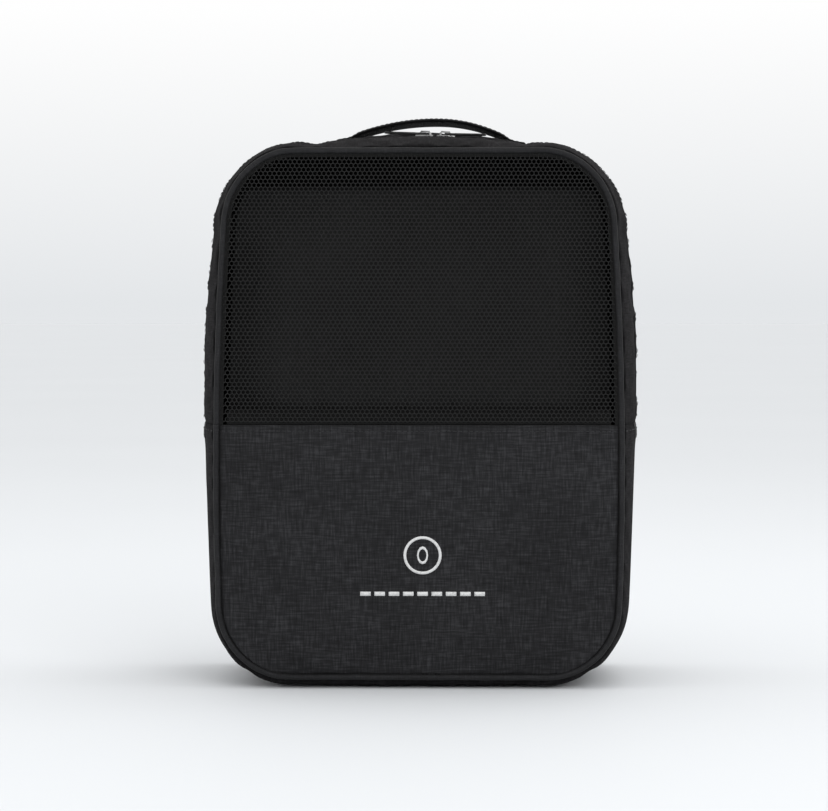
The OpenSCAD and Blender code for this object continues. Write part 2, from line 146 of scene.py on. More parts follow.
def skin(run, y):  # how far the stuffed gusset stands out of the panel outline
    x, z, nx, nz = run.T
    c = bagShape["cornerSwell"]
    bell = np.exp(-((z - bagShape["swellHeight"]) / bagShape["swellSpan"]) ** 2)
    side = bagShape["lowSwell"] + (bagShape["sideSwell"] - bagShape["lowSwell"]) * bell
    level = np.where(nz > 0, topSwellAt(x * topNarrow), bagShape["baseSwell"])
    swell = c + nx ** 2 * (side - c) + nz ** 2 * (level - c)
    full = bagShape["sideFullness"] + (bagShape["baseFullness"] - bagShape["sideFullness"]) * np.maximum(0, -nz)
    across = np.clip((np.asarray(y) - gussetFront) / (gussetBack - gussetFront), 0, 1)
    return swell[:, None] * np.sin(np.pi * across)[None, :] ** full[:, None] - bagShape["edgeIn"]


def place(run, out, y):  # points of a band: rows follow the run, columns the depths y
    out = np.asarray(out)
    if out.ndim == 1:
        out = out[:, None]
    z = run[:, 1:2] + run[:, 3:4] * out
    x = (run[:, 0:1] + run[:, 2:3] * out) * narrowing(z)
    yy = np.broadcast_to(np.asarray(y)[None, :], z.shape)
    return np.stack([x, yy, z], axis=-1)


def lengthsAlong(path):
    return np.concatenate([[0], np.cumsum(np.linalg.norm(np.diff(path, axis=0), axis=1))])


def runLengths(run):
    return lengthsAlong(place(run, np.zeros(len(run)), [0.0])[:, 0])


def pickAlong(where, lengths, values):
    return np.column_stack([np.interp(where, lengths, values[:, k]) for k in range(3)])


def softNoise(length, seed, wave):  # a repeatable wavering value along a length
    local = np.random.default_rng(seed)
    total = np.zeros_like(length)
    for k in range(6):
        total += np.sin(length * 2 * np.pi / (wave * (0.6 + 0.25 * k)) + local.uniform(0, 6.3)) / 6 * 1.6
    return total


# mesh helpers
def addObject(name, mesh, material=None):
    obj = bpy.data.objects.new(name, mesh)
    scene.collection.objects.link(obj)
    if material:
        mesh.materials.clear()
        mesh.materials.append(material)
    mesh.shade_smooth()
    return obj


def gridObject(name, points, us, vs, material, closedRows=False, closedCols=False, flatUv=False,
               seam=None):
    rows, cols = points.shape[:2]
    mesh = bpy.data.meshes.new(name)
    lastRow = rows if closedRows else rows - 1
    lastCol = cols if closedCols else cols - 1
    faces, uvs = [], []
    for i in range(lastRow):
        a, b = i, (i + 1) % rows
        ua, ub = us[i], us[i + 1] if i + 1 < rows else us[i] + (us[1] - us[0])
        for j in range(lastCol):
            k = (j + 1) % cols
            va, vb = vs[j], vs[j + 1] if j + 1 < cols else vs[j] + (vs[1] - vs[0])
            faces.append((a * cols + j, a * cols + k, b * cols + k, b * cols + j))
            if flatUv:  # a flat panel's cloth keeps its threads upright
                uvs += [points[r, c, ::2] for r, c in ((a, j), (a, k), (b, k), (b, j))]
            else:
                uvs += [(ua, va), (ua, vb), (ub, vb), (ub, va)]
    mesh.from_pydata(points.reshape(-1, 3).tolist(), [], faces)
    if seam is not None:  # painted shade: 1 where a sewn groove is darkened, 0 on the open cloth
        shade = mesh.attributes.new("seam", "FLOAT", "POINT")
        shade.data.foreach_set("value", np.ascontiguousarray(
            np.broadcast_to(seam, points.shape[:2]), np.float32).ravel())
    layer = mesh.uv_layers.new(name="cloth")
    layer.data.foreach_set("uv", np.array(uvs, np.float32).ravel())
    return addObject(name, mesh, material)


def gridNormals(points, closedRows=False):
    if closedRows:
        du = np.roll(points, -1, 0) - np.roll(points, 1, 0)
    else:
        du = np.gradient(points, axis=0)
    dv = np.gradient(points, axis=1)
    n = np.cross(dv, du)
    return n / np.maximum(np.linalg.norm(n, axis=-1, keepdims=True), 1e-12)


def bakeModifiers(obj):
    graph = bpy.context.evaluated_depsgraph_get()
    mesh = bpy.data.meshes.new_from_object(obj.evaluated_get(graph))
    obj.modifiers.clear()
    obj.data = mesh
    mesh.shade_smooth()
    return obj


def thicken(obj, thickness, smooth=1, roundEdge=True):  # the sheet's own side is its outer face
    if smooth:
        sub = obj.modifiers.new("smooth", "SUBSURF")
        sub.levels = sub.render_levels = smooth
        sub.boundary_smooth = "PRESERVE_CORNERS"
    wall = obj.modifiers.new("wall", "SOLIDIFY")
    wall.thickness = thickness
    wall.offset = -1
    if roundEdge:
        bevel = obj.modifiers.new("edge", "BEVEL")
        bevel.width = thickness * 0.3
        bevel.segments = 2
        bevel.angle_limit = math.radians(60)
    return bakeModifiers(obj)


def closeEnds(obj, ends=True, faceOut=True):  # caps a tube's open ends and turns its faces outward
    bm = bmesh.new()
    bm.from_mesh(obj.data)
    if ends:
        bmesh.ops.holes_fill(bm, edges=[e for e in bm.edges if e.is_boundary], sides=0)
    if faceOut:
        bmesh.ops.recalc_face_normals(bm, faces=bm.faces)
    bm.to_mesh(obj.data)
    bm.free()
    obj.data.shade_smooth()


def joinParts(parts, name):
    bpy.ops.object.select_all(action="DESELECT")
    for part in parts:
        part.select_set(True)
    bpy.context.view_layer.objects.active = parts[0]
    bpy.ops.object.join()
    parts[0].name = name
    return parts[0]


def sweepTube(name, path, side, radius, sides, material, closed=False, squash=1.0, seam=None):
    # path and side are n by 3; the ring turns from side towards the run's depth axis
    n = len(path)
    angles = np.linspace(0, 2 * np.pi, sides, endpoint=False)
    radius = np.broadcast_to(radius, (n,))
    depth = np.array([0, 1.0, 0])
    points = (path[:, None] + radius[:, None, None] * (
        np.cos(angles)[None, :, None] * side[:, None] + squash * np.sin(angles)[None, :, None] * depth))
    us = lengthsAlong(path)
    vs = np.arange(sides) / sides * 2 * np.pi * float(radius.mean())
    obj = gridObject(name, points, us, vs, material, closed, True, seam=seam)
    if not closed:
        closeEnds(obj, faceOut=False)
    return obj


def settleCloth(obj, pins, pressure, grow, frames):
    # cloth with its pinned seams held, slightly larger than the space it is sewn into
    group = obj.vertex_groups.new(name="pins")
    for i, w in enumerate(pins):
        if w > 0:
            group.add([i], float(w), "REPLACE")
    cloth = obj.modifiers.new("cloth", "CLOTH")
    cs = cloth.settings
    cs.quality = 6
    cs.mass = 0.25
    cs.tension_stiffness = cs.compression_stiffness = 20
    cs.shear_stiffness = 8
    cs.bending_stiffness = 0.25
    cs.vertex_group_mass = "pins"
    cs.pin_stiffness = 1
    cs.shrink_min = -grow
    cs.use_pressure = True
    cs.uniform_pressure_force = pressure
    cs.effector_weights.gravity = 0
    cloth.point_cache.frame_start = 1
    cloth.point_cache.frame_end = frames
    for f in range(1, frames + 1):
        scene.frame_set(f)
    graph = bpy.context.evaluated_depsgraph_get()
    mesh = obj.evaluated_get(graph).data
    found = np.empty(len(mesh.vertices) * 3)
    mesh.vertices.foreach_get("co", found)
    obj.modifiers.clear()
    scene.frame_set(1)
    return found.reshape(-1, 3)


def limitMove(rest, moved, normals, cap, inward):
    move = moved - rest
    out = (move * normals).sum(-1, keepdims=True)
    move = move + normals * (np.maximum(out, -inward) - out)
    size = np.linalg.norm(move, axis=-1, keepdims=True)
    return rest + move * np.minimum(1, cap / np.maximum(size, 1e-9))


# materials
class Shader:
    def __init__(self, name, roughness, **sockets):
        self.material = bpy.data.materials.new(name)
        self.material.use_nodes = True
        self.nodes = self.material.node_tree.nodes
        self.links = self.material.node_tree.links
        self.bsdf = self.nodes["Principled BSDF"]
        self.bsdf.inputs["Roughness"].default_value = roughness
        for key, value in sockets.items():
            self.bsdf.inputs[key.replace("_", " ")].default_value = value

    def add(self, kind, **inputs):
        made = self.nodes.new(kind)
        for key, value in inputs.items():
            socket = made.inputs[key.replace("_", " ")]
            if isinstance(value, bpy.types.NodeSocket):
                self.links.new(value, socket)
            else:
                socket.default_value = value
        return made

    def coords(self, uvMap="cloth"):
        if uvMap:
            source = self.nodes.new("ShaderNodeUVMap")
            source.uv_map = uvMap
            return source.outputs["UV"]
        return self.nodes.new("ShaderNodeTexCoord").outputs["Object"]

    def noise(self, coords, scale, detail=2.0, shift=(0, 0, 0), rough=0.5):
        mapped = self.add("ShaderNodeMapping", Vector=coords, Scale=scale, Location=shift)
        tex = self.add("ShaderNodeTexNoise", Vector=mapped.outputs["Vector"], Scale=1.0, Detail=detail)
        tex.inputs["Roughness"].default_value = rough
        return tex.outputs["Fac"]

    def wave(self, coords, axis, period, distort=0.0):
        tex = self.add("ShaderNodeTexWave", Vector=coords, Scale=math.pi / 10 / period, Distortion=distort)
        tex.bands_direction = axis
        return tex.outputs["Fac"]

    def math(self, kind, a, b):
        made = self.nodes.new("ShaderNodeMath")
        made.operation = kind
        for socket, value in zip(made.inputs, (a, b)):
            if isinstance(value, bpy.types.NodeSocket):
                self.links.new(value, socket)
            else:
                socket.default_value = value
        return made.outputs[0]

    def ramp(self, fac, stops):
        made = self.nodes.new("ShaderNodeValToRGB")
        self.links.new(fac, made.inputs["Fac"])
        band = made.color_ramp
        while len(band.elements) < len(stops):
            band.elements.new(0.5)
        for element, (where, colour) in zip(band.elements, stops):
            element.position = where
            element.color = (*colour, 1)
        return made.outputs["Color"]

    def colour(self, socket):
        self.links.new(socket, self.bsdf.inputs["Base Color"])

    def bump(self, height, distance, strength=1.0):
        made = self.add("ShaderNodeBump", Height=height, Distance=distance, Strength=strength)
        self.links.new(made.outputs["Normal"], self.bsdf.inputs["Normal"])


def grey(value, tint=(1, 1, 1)):
    return tuple(value * t for t in tint)


def clothMaterial(name, look):
    s = Shader(name, look["rough"], Sheen_Weight=look["sheen"], Sheen_Roughness=0.5,
               Specular_IOR_Level=look.get("shine", 0.12))
    uv = s.coords()
    long, wide = look["slubLong"], look["slubWide"]
    warp = s.noise(uv, (1 / long, 1 / wide, 1), 3.0, (3, 7, 0), 0.55)
    weft = s.noise(uv, (1 / wide, 1 / long, 1), 3.0, (11, 5, 0), 0.55)
    broad = s.noise(uv, (look["patch"], look["patch"], 1), 2.0, (1, 2, 0))
    threads = s.math("ADD", warp, weft)
    tone = s.math("MULTIPLY", s.math("ADD", threads, s.math("MULTIPLY", broad, look["patchDepth"])),
                  1 / (2 + look["patchDepth"]))
    spread = look["contrast"]
    cloth = s.ramp(tone, [
        (0.5 - spread, look["dark"]), (0.5, look["middle"]), (0.5 + spread, look["light"]),
    ])
    # painted shade: the seam attribute mixes the cloth's colour towards a near-black where the sewn grooves lie in
    # shadow
    groove = s.nodes.new("ShaderNodeAttribute")
    groove.attribute_name = "seam"
    wearAndPaintedShade = s.nodes.new("ShaderNodeMix")
    wearAndPaintedShade.data_type = "RGBA"
    s.links.new(groove.outputs["Fac"], wearAndPaintedShade.inputs["Factor"])
    s.links.new(cloth, wearAndPaintedShade.inputs["A"])
    wearAndPaintedShade.inputs["B"].default_value = (0.0015, 0.0015, 0.0017, 1)
    s.colour(wearAndPaintedShade.outputs["Result"])
    weave = s.math("MULTIPLY", s.wave(uv, "X", look["thread"]), s.wave(uv, "Y", look["thread"]))
    s.bump(s.math("ADD", weave, s.math("MULTIPLY", threads, 0.8)), look["relief"], look.get("bump", 0.6))
    return s.material


coolGrey = (0.985, 0.985, 1.06)
warmGrey = (1.03, 0.985, 1.04)
clothLooks = {
    "twoToneOxford": {"rough": 0.85, "dark": grey(0.009, coolGrey), "middle": grey(0.018, coolGrey),
                      "light": grey(0.042, coolGrey), "slubLong": 11 * mm, "slubWide": 1.0 * mm, "patch": 20,
                      "patchDepth": 0.35, "contrast": 0.15, "thread": 0.62 * mm, "relief": 0.25 * mm, "sheen": 0.02},
    "gussetCloth": {"rough": 0.88, "shine": 0.04, "dark": grey(0.008, warmGrey),
                    "middle": grey(0.0145, warmGrey), "light": grey(0.032, warmGrey),
                    "slubLong": 9 * mm, "slubWide": 0.8 * mm, "patch": 16,
                    "patchDepth": 0.4, "contrast": 0.15, "thread": 0.62 * mm, "relief": 0.22 * mm, "sheen": 0.0},
    "pipingCloth": {"rough": 0.55, "shine": 0.1, "dark": grey(0.01, coolGrey),
                    "middle": grey(0.0165, coolGrey), "light": grey(0.032, coolGrey),
                    "slubLong": 5 * mm, "slubWide": 0.5 * mm, "patch": 60,
                    "patchDepth": 0.4, "contrast": 0.16, "thread": 0.5 * mm, "relief": 0.15 * mm, "sheen": 0.05},
    "liningCloth": {"rough": 0.55, "dark": grey(0.012), "middle": grey(0.02), "light": grey(0.03),
                    "slubLong": 6 * mm, "slubWide": 0.5 * mm, "patch": 14, "patchDepth": 0.8, "contrast": 0.16,
                    "thread": 0.45 * mm, "relief": 0.1 * mm, "sheen": 0.08},
    "dividerCloth": {"rough": 0.7, "dark": grey(0.008), "middle": grey(0.014), "light": grey(0.022),
                     "slubLong": 8 * mm, "slubWide": 0.7 * mm, "patch": 14, "patchDepth": 0.9, "contrast": 0.15,
                     "thread": 0.5 * mm, "relief": 0.15 * mm, "sheen": 0.04},
    "bindingTape": {"rough": 0.75, "dark": grey(0.004), "middle": grey(0.007), "light": grey(0.012),
                    "slubLong": 1.2 * mm, "slubWide": 1.2 * mm, "patch": 40, "patchDepth": 0.4, "contrast": 0.16,
                    "thread": 0.9 * mm, "relief": 0.2 * mm, "sheen": 0.03},
    "zipTape": {"rough": 0.8, "dark": grey(0.003), "middle": grey(0.005), "light": grey(0.01),
                "slubLong": 2.4 * mm, "slubWide": 0.6 * mm, "patch": 50, "patchDepth": 0.3, "contrast": 0.16,
                "thread": 0.8 * mm, "relief": 0.2 * mm, "sheen": 0.02},
    "strapWeb": {"rough": 0.72, "dark": grey(0.003, coolGrey), "middle": grey(0.006, coolGrey),
                 "light": grey(0.013, coolGrey), "slubLong": 2 * mm, "slubWide": 0.9 * mm, "patch": 40,
                 "patchDepth": 0.3, "contrast": 0.16, "thread": 1.3 * mm, "relief": 0.35 * mm, "sheen": 0.03},
}
cloths = {name: clothMaterial(name, look) for name, look in clothLooks.items()}


def nylonMaterial(name, dark, light, rough):
    s = Shader(name, rough, Specular_IOR_Level=0.25)
    spot = s.noise(s.coords(None), (900, 900, 900), 2.0)
    s.colour(s.ramp(spot, [(0.3, dark), (0.7, light)]))
    s.bump(s.noise(s.coords(None), (3000, 3000, 3000), 1.0), 0.05 * mm, 0.5)
    return s.material


def metalMaterial(name, dark, light):
    s = Shader(name, 0.28, Metallic=1.0)
    obj = s.coords(None)
    wear = s.noise(obj, (250, 250, 250), 4.0)
    s.colour(s.ramp(wear, [(0.35, dark), (0.65, light)]))
    fine = s.noise(obj, (400, 5000, 400), 2.0)
    rough = s.math("ADD", 0.18, s.math("MULTIPLY", fine, 0.28))
    s.links.new(rough, s.bsdf.inputs["Roughness"])
    s.bump(fine, 0.02 * mm, 0.4)
    return s.material


def foamMaterial(name, dark, light):
    s = Shader(name, 0.9)
    cells = s.noise(s.coords(None), (1200, 1200, 1200), 2.0)
    s.colour(s.ramp(cells, [(0.3, dark), (0.7, light)]))
    s.bump(cells, 0.2 * mm)
    return s.material


def printMaterial(name):
    s = Shader(name, 0.5)
    obj = s.coords(None)
    wearAndPaintedShade = s.noise(obj, (700, 700, 700), 3.0)
    s.colour(s.ramp(wearAndPaintedShade, [(0.25, grey(0.45)), (0.5, grey(0.66))]))
    s.bump(s.noise(obj, (1600, 1600, 1600), 1.0), 0.06 * mm)
    return s.material


def floorMaterial(name):
    s = Shader(name, 0.7, Specular_IOR_Level=0.2)
    tones = [(0.3, (0.745, 0.765, 0.785)), (0.7, (0.755, 0.775, 0.795))]
    s.colour(s.ramp(s.noise(s.coords(None), (1.5, 1.5, 1.5), 1.0), tones))
    return s.material


netNylon = nylonMaterial("netNylon", grey(0.007), grey(0.014), 0.6)
coilNylon = nylonMaterial("coilNylon", grey(0.004), grey(0.009), 0.4)
threadNylon = nylonMaterial("threadNylon", grey(0.018, coolGrey), grey(0.034, coolGrey), 0.6)
zipMetal = metalMaterial("zipMetal", grey(0.12), grey(0.3))
blackMetal = metalMaterial("blackMetal", grey(0.02), grey(0.045))
foamSheet = foamMaterial("foamSheet", grey(0.035), grey(0.06))
boardSheet = foamMaterial("boardSheet", grey(0.015), grey(0.03))
whitePrint = printMaterial("whitePrint")
print("materials ready")


# geometry nodes that repeat a small piece along points
def repeatTree(name, sizeNames):
    tree = bpy.data.node_groups.new(name, "GeometryNodeTree")
    face = tree.interface
    face.new_socket("Points", in_out="INPUT", socket_type="NodeSocketGeometry")
    face.new_socket("Piece", in_out="INPUT", socket_type="NodeSocketObject")
    face.new_socket("Finish", in_out="INPUT", socket_type="NodeSocketMaterial")
    for size in sizeNames:
        face.new_socket(size, in_out="INPUT", socket_type="NodeSocketFloat")
    face.new_socket("Geometry", in_out="OUTPUT", socket_type="NodeSocketGeometry")
    n, l = tree.nodes, tree.links
    start, end = n.new("NodeGroupInput"), n.new("NodeGroupOutput")

    def attribute(label):
        made = n.new("GeometryNodeInputNamedAttribute")
        made.data_type = "FLOAT_VECTOR"
        made.inputs["Name"].default_value = label
        return made.outputs["Attribute"]

    turn = n.new("FunctionNodeAxesToRotation")
    turn.primary_axis, turn.secondary_axis = "X", "Z"
    l.new(attribute("along"), turn.inputs["Primary Axis"])
    l.new(attribute("up"), turn.inputs["Secondary Axis"])
    piece = n.new("GeometryNodeObjectInfo")
    l.new(start.outputs["Piece"], piece.inputs["Object"])
    scale = n.new("ShaderNodeCombineXYZ")
    for axis, size in zip("XYZ", sizeNames if len(sizeNames) == 3 else sizeNames * 3):
        l.new(start.outputs[size], scale.inputs[axis])
    copies = n.new("GeometryNodeInstanceOnPoints")
    l.new(start.outputs["Points"], copies.inputs["Points"])
    l.new(piece.outputs["Geometry"], copies.inputs["Instance"])
    l.new(turn.outputs["Rotation"], copies.inputs["Rotation"])
    l.new(scale.outputs["Vector"], copies.inputs["Scale"])
    real = n.new("GeometryNodeRealizeInstances")
    l.new(copies.outputs["Instances"], real.inputs["Geometry"])
    finish = n.new("GeometryNodeSetMaterial")
    l.new(real.outputs["Geometry"], finish.inputs["Geometry"])
    l.new(start.outputs["Finish"], finish.inputs["Material"])
    l.new(finish.outputs["Geometry"], end.inputs["Geometry"])
    return tree


stitchTree = repeatTree("stitchRow", ["Stitch Length", "Thread Width", "Thread Height"])
coilTree = repeatTree("coilTeeth", ["Tooth Pitch", "Tooth Reach", "Tooth Height"])
netTree = repeatTree("netCells", ["Hole Pitch"])


def repeatAlong(name, tree, piece, sizes, finish, points, along, up):
    mesh = bpy.data.meshes.new(name)
    mesh.from_pydata(np.asarray(points).tolist(), [], [])
    for label, values in (("along", along), ("up", up)):
        data = mesh.attributes.new(label, "FLOAT_VECTOR", "POINT")
        data.data.foreach_set("vector", np.ascontiguousarray(np.broadcast_to(values, (len(points), 3)),
                                                             np.float32).ravel())
    obj = addObject(name, mesh)
    mod = obj.modifiers.new("repeat", "NODES")
    mod.node_group = tree
    wanted = {"Piece": piece, "Finish": finish, **sizes}
    for item in tree.interface.items_tree:
        if item.in_out == "INPUT" and item.name in wanted:
            mod[item.identifier] = wanted[item.name]
    return bakeModifiers(obj)


def pieceObject(name, build):
    bm = bmesh.new()
    build(bm)
    mesh = bpy.data.meshes.new(name)
    bm.to_mesh(mesh)
    bm.free()
    return addObject(name, mesh)


def skinRings(bm, rings):  # six-sided rings joined into a closed body
    for a, b in zip(rings, rings[1:]):
        for j in range(6):
            bm.faces.new((a[j], a[(j + 1) % 6], b[(j + 1) % 6], b[j]))
    bm.faces.new(rings[0][::-1])
    bm.faces.new(rings[-1])
    bmesh.ops.recalc_face_normals(bm, faces=bm.faces)


def buildStitch(bm):  # a thread of length 1 that dips into the cloth at both ends
    rings = []
    for x, r, z in ((-0.5, 0.25, -0.35), (-0.36, 0.46, 0.05), (0, 0.5, 0.3), (0.36, 0.46, 0.05),
                    (0.5, 0.25, -0.35)):
        ring = [bm.verts.new((x, r * math.cos(a), z + r * math.sin(a)))
                for a in np.linspace(0, 2 * math.pi, 6, endpoint=False)]
        rings.append(ring)
    skinRings(bm, rings)


def buildTooth(bm):  # one loop of the coil: x along the zip, y from the head (0) to the tape (1)
    rings = []
    for y, r, z in ((0, 0.2, 0.45), (0.08, 0.5, 0.5), (0.25, 0.46, 0.55), (0.7, 0.36, 0.6), (1, 0.3, 0.35)):
        ring = [bm.verts.new((0.86 * r * math.cos(a), y, z + r * math.sin(a)))
                for a in np.linspace(0, 2 * math.pi, 6, endpoint=False)]
        rings.append(ring)
    skinRings(bm, rings)


def buildNetCell(bm):  # three strands from one knot of a six-sided net to the next knots
    wide, deep = 0.125, 0.1
    for angle in (90, 210, 330):
        a = math.radians(angle)
        d = Vector((math.cos(a), 0, math.sin(a)))
        side = Vector((-d.z, 0, d.x))
        ends = []
        for t in (-0.06, 1 / math.sqrt(3)):
            ends.append([bm.verts.new(d * t + side * sx * wide + Vector((0, sy * deep, 0)))
                         for sx, sy in ((1, 0), (0, 1), (-1, 0), (0, -1))])
        for j in range(4):
            bm.faces.new((ends[0][j], ends[0][(j + 1) % 4], ends[1][(j + 1) % 4], ends[1][j]))
    bmesh.ops.recalc_face_normals(bm, faces=bm.faces)


stitchPiece = pieceObject("stitchPiece", buildStitch)
toothPiece = pieceObject("toothPiece", buildTooth)
netPiece = pieceObject("netPiece", buildNetCell)
stitchLook = {"pitch": 3.2 * mm, "long": 2.5 * mm, "wide": 0.5 * mm, "high": 0.36 * mm}


def stitchLine(name, path, up, body, spacing=None):
    # path runs over the cloth; stitches lie evenly along it
    path, up = np.asarray(path), np.broadcast_to(up, np.shape(path))
    at = lengthsAlong(path)
    count = max(2, round(at[-1] / (spacing or stitchLook["pitch"])))
    where = (np.arange(count) + 0.5) / count * at[-1]
    points, ups = pickAlong(where, at, path), pickAlong(where, at, up)
    along = pickAlong(where + 0.5 * mm, at, path) - pickAlong(where - 0.5 * mm, at, path)
    along /= np.linalg.norm(along, axis=1, keepdims=True)
    obj = repeatAlong(name, stitchTree, stitchPiece,
                      {"Stitch Length": stitchLook["long"], "Thread Width": stitchLook["wide"],
                       "Thread Height": stitchLook["high"]}, threadNylon, points, along, ups)
    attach(obj, body)
    return obj


# gusset: one stuffed band, sewn all round, settled as cloth and then cut apart
gussetLook = {"step": 3.6 * mm, "outer": 0.8 * mm, "liningDepth": 1.85 * mm, "lining": 0.5 * mm,
              "pressure": 1.5, "grow": 0.03, "frames": 22, "cap": 1.3 * mm, "inward": 0.5 * mm,
              "pucker": 0.5 * mm, "puckerReach": 9 * mm, "seamDip": 0.25 * mm, "seamWide": 2.2 * mm,
              "fold": 0.7 * mm, "groove": 1.3 * mm, "grooveWide": 2.6 * mm, "topLift": 2.2 * mm,
              "slack": 1.3 * mm, "shoulderSlack": 1.4 * mm, "shoulderHeight": 288 * mm}


def topLift(run, ys):  # what is packed inside pushes the top up under the handle
    x, z = run[:, 0] * topNarrow, run[:, 1]
    near = 1 - np.abs(x - 7 * mm) / (50 * mm)
    along = ease(near * np.where(x > 7 * mm, 2, 1)) * (z > topZ - mm)
    back = np.clip((ys - slitBack - 2 * mm) / (58 * mm), 0, 1)
    return gussetLook["topLift"] * along[:, None] * np.sin(np.pi * back)[None, :] ** 0.7


def makeGusset():
    g = gussetLook
    upper, lower = upperRun(g["step"]), lowerRun(g["step"])
    loop = np.vstack([upper, lower[1:-1]])
    close = g["groove"] * np.array([0, 1, 2.2])
    ys = np.concatenate([
        gussetFront + close, np.linspace(gussetFront, slitFront, 11)[1:-1], slitFront - close[1::-1],
        np.linspace(slitFront, slitBack, 4)[1:-1],
        slitBack + close[:2], np.linspace(slitBack, gussetBack, 20)[1:-1], gussetBack - close[::-1]])
    frontCols, backCols = 14, 15  # the flap's columns, and where the slit's own two end
    rest = place(loop, skin(loop, ys) + topLift(loop, ys), ys)
    normals = gridNormals(rest, True)
    lengths = runLengths(np.vstack([loop, loop[:1]]))
    isUpper = np.arange(len(loop)) < len(upper)
    nearFold = np.abs(loop[:, 1] - foldZ)

    pins = np.zeros(rest.shape[:2])
    pins[:, [0, -1]] = 1
    slit = (ys > slitFront - 3 * mm) & (ys < slitBack + 3 * mm)
    pins[np.ix_(isUpper, slit)] = 1
    pins[(nearFold < g["step"] * 0.6)] = 1
    flat = (loop[:, 3] < -0.99)[:, None] & (np.abs(ys) < 45 * mm)[None, :]
    pins[flat] = 1
    sewn = (np.abs(rest[..., 0] - strapX) < strapHalfLong + 3 * mm) & (rest[..., 2] > topZ - 5 * mm)
    pins[sewn & (ys > 0)[None, :] & (ys < 32 * mm)[None, :]] = 1

    moved = rest
    sheet = gridObject("gussetCloth", rest, lengths, ys, None, closedRows=True)
    found = settleCloth(sheet, pins.ravel(), g["pressure"], g["grow"], g["frames"]).reshape(rest.shape)
    moved = limitMove(rest, found, normals, g["cap"], g["inward"])
    bpy.data.objects.remove(sheet)
    print("gusset cloth moved up to %.1f mm" % (np.abs(moved - rest).max() / mm))

    # gathers along the piping and the zip, and the dip of the side seams
    out = np.zeros(rest.shape[:2])
    sewnEdges = ((gussetFront, None), (gussetBack, None), (slitFront, isUpper), (slitBack, isUpper))
    for k, (edge, rows) in enumerate(sewnEdges):
        away = np.abs(ys - edge)
        fall = np.sin(np.pi * np.clip(away / g["puckerReach"], 0, 1)) * np.exp(-away / g["puckerReach"])
        wave = softNoise(lengths[:-1], 20 + k, 9 * mm)
        strength = g["pucker"] if rows is None else g["pucker"] * 0.5 * rows
        out += (wave * strength)[:, None] * fall[None, :]
    # slack folds that run slantwise over the sides
    across = np.sin(np.pi * np.clip((ys - slitBack) / (gussetBack - slitBack), 0, 1)) + np.sin(
        np.pi * np.clip((ys - gussetFront) / (slitFront - gussetFront), 0, 1))
    slant = lengths[:-1][:, None] + 0.6 * ys[None, :]
    out += g["fold"] * softNoise(slant, 77, 46 * mm) * softNoise(slant * 0.4 - ys[None, :], 78, 61 * mm) * across
    # the sides hang a little slack, most of all at the shoulders
    z, nx, nz = loop.T[1:]
    shoulder = np.exp(-((z - g["shoulderHeight"]) / (22 * mm)) ** 2)
    slack = (g["slack"] + g["shoulderSlack"] * shoulder) * np.clip(nx ** 2 + (nz > 0) * 0.5 * shoulder, 0, 1)
    slitAway = np.minimum(np.abs(ys - slitFront), np.abs(ys - slitBack)) * ((ys < slitFront) | (ys > slitBack))
    offZip = np.where(isUpper[:, None], 1 - np.exp(-(slitAway / (12 * mm)) ** 2)[None, :], 1)
    wholeAcross = np.sin(np.pi * np.clip((ys - gussetFront) / (gussetBack - gussetFront), 0, 1))
    out -= slack[:, None] * wholeAcross[None, :] * offZip * np.clip(nearFold / (14 * mm), 0.35, 1)[:, None]
    onBase = (loop[:, 3] < -0.7)[:, None]
    out = np.where(onBase, 0, out)
    out -= (g["seamDip"] * np.exp(-(nearFold / g["seamWide"]) ** 2))[:, None] * np.ones(len(ys))[None, :]
    settled = moved + normals * out[..., None]
    settled[..., 2] = np.maximum(settled[..., 2], 0.1 * mm)
    # the lining follows the cloth, but stays outside the zip tape and the seam bindings
    along = ((settled - rest) * normals).sum(-1)
    held = np.maximum(np.exp(-(np.minimum(ys - gussetFront, gussetBack - ys) / (12 * mm)) ** 4)[None, :],
                      isUpper[:, None] * np.exp(-(slitAway / (13 * mm)) ** 4)[None, :])
    inside = rest + normals * (along * (1 - held) + np.maximum(along, 0) * held - g["liningDepth"])[..., None]
    # painted shade for the seam attribute: the gusset is darkened along the piping, at the side seams and beside the
    # zip, less on the underside
    edge = np.minimum.reduce([np.abs(ys - gussetFront), np.abs(ys - gussetBack)])
    slitEdge = np.minimum(np.abs(ys - slitFront), np.abs(ys - slitBack))
    underside = np.where(nz < -0.3, 0.35, 1.0)[:, None]
    shade = np.maximum(underside * np.exp(-(edge / g["grooveWide"]) ** 2)[None, :],
                       0.75 * np.exp(-(nearFold / g["groove"]) ** 2)[:, None])
    shade = np.maximum(shade, 0.6 * isUpper[:, None] * np.exp(-(slitEdge / g["groove"]) ** 2)[None, :])

    upperRows = np.arange(len(upper))
    lowerRows = np.concatenate([[len(upper) - 1], np.arange(len(upper), len(loop)), [0]])
    bands = {
        "flap": (upperRows, slice(0, frontCols), "flapGusset", "flapLining", "flap",
                 ["flap_gusset", "flap_gusset_lining"]),
        "rear": (upperRows, slice(backCols + 1, None), "rearGusset", "rearLining", "bag",
                 ["rear_gusset", "rear_gusset_lining"]),
        "base": (lowerRows, slice(0, None), "baseGusset", "baseLining", "bag", ["base_gusset", "base_lining"]),
    }
    surface = {}
    for key, (rows, cols, name, liningName, body, nodes) in bands.items():
        part = settled[rows][:, cols]
        us, vs = (lengths[rows] if key != "base" else lengths[len(upper) - 1:]), ys[cols]
        outer = gridObject(name, part, us, vs, cloths["gussetCloth"], seam=shade[rows][:, cols])
        thicken(outer, g["outer"], 1, roundEdge=False)
        lining = gridObject(liningName, inside[rows][:, cols], us, vs, cloths["liningCloth"])
        thicken(lining, g["lining"], 0, roundEdge=False)
        for obj, node, slot in ((outer, nodes[0], "gusset_fabric"), (lining, nodes[1], "lining")):
            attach(obj, body)
            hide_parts(node)
        surface[key] = (part, gridNormals(part))
    return surface


gusset = makeGusset()
print("gusset ready")


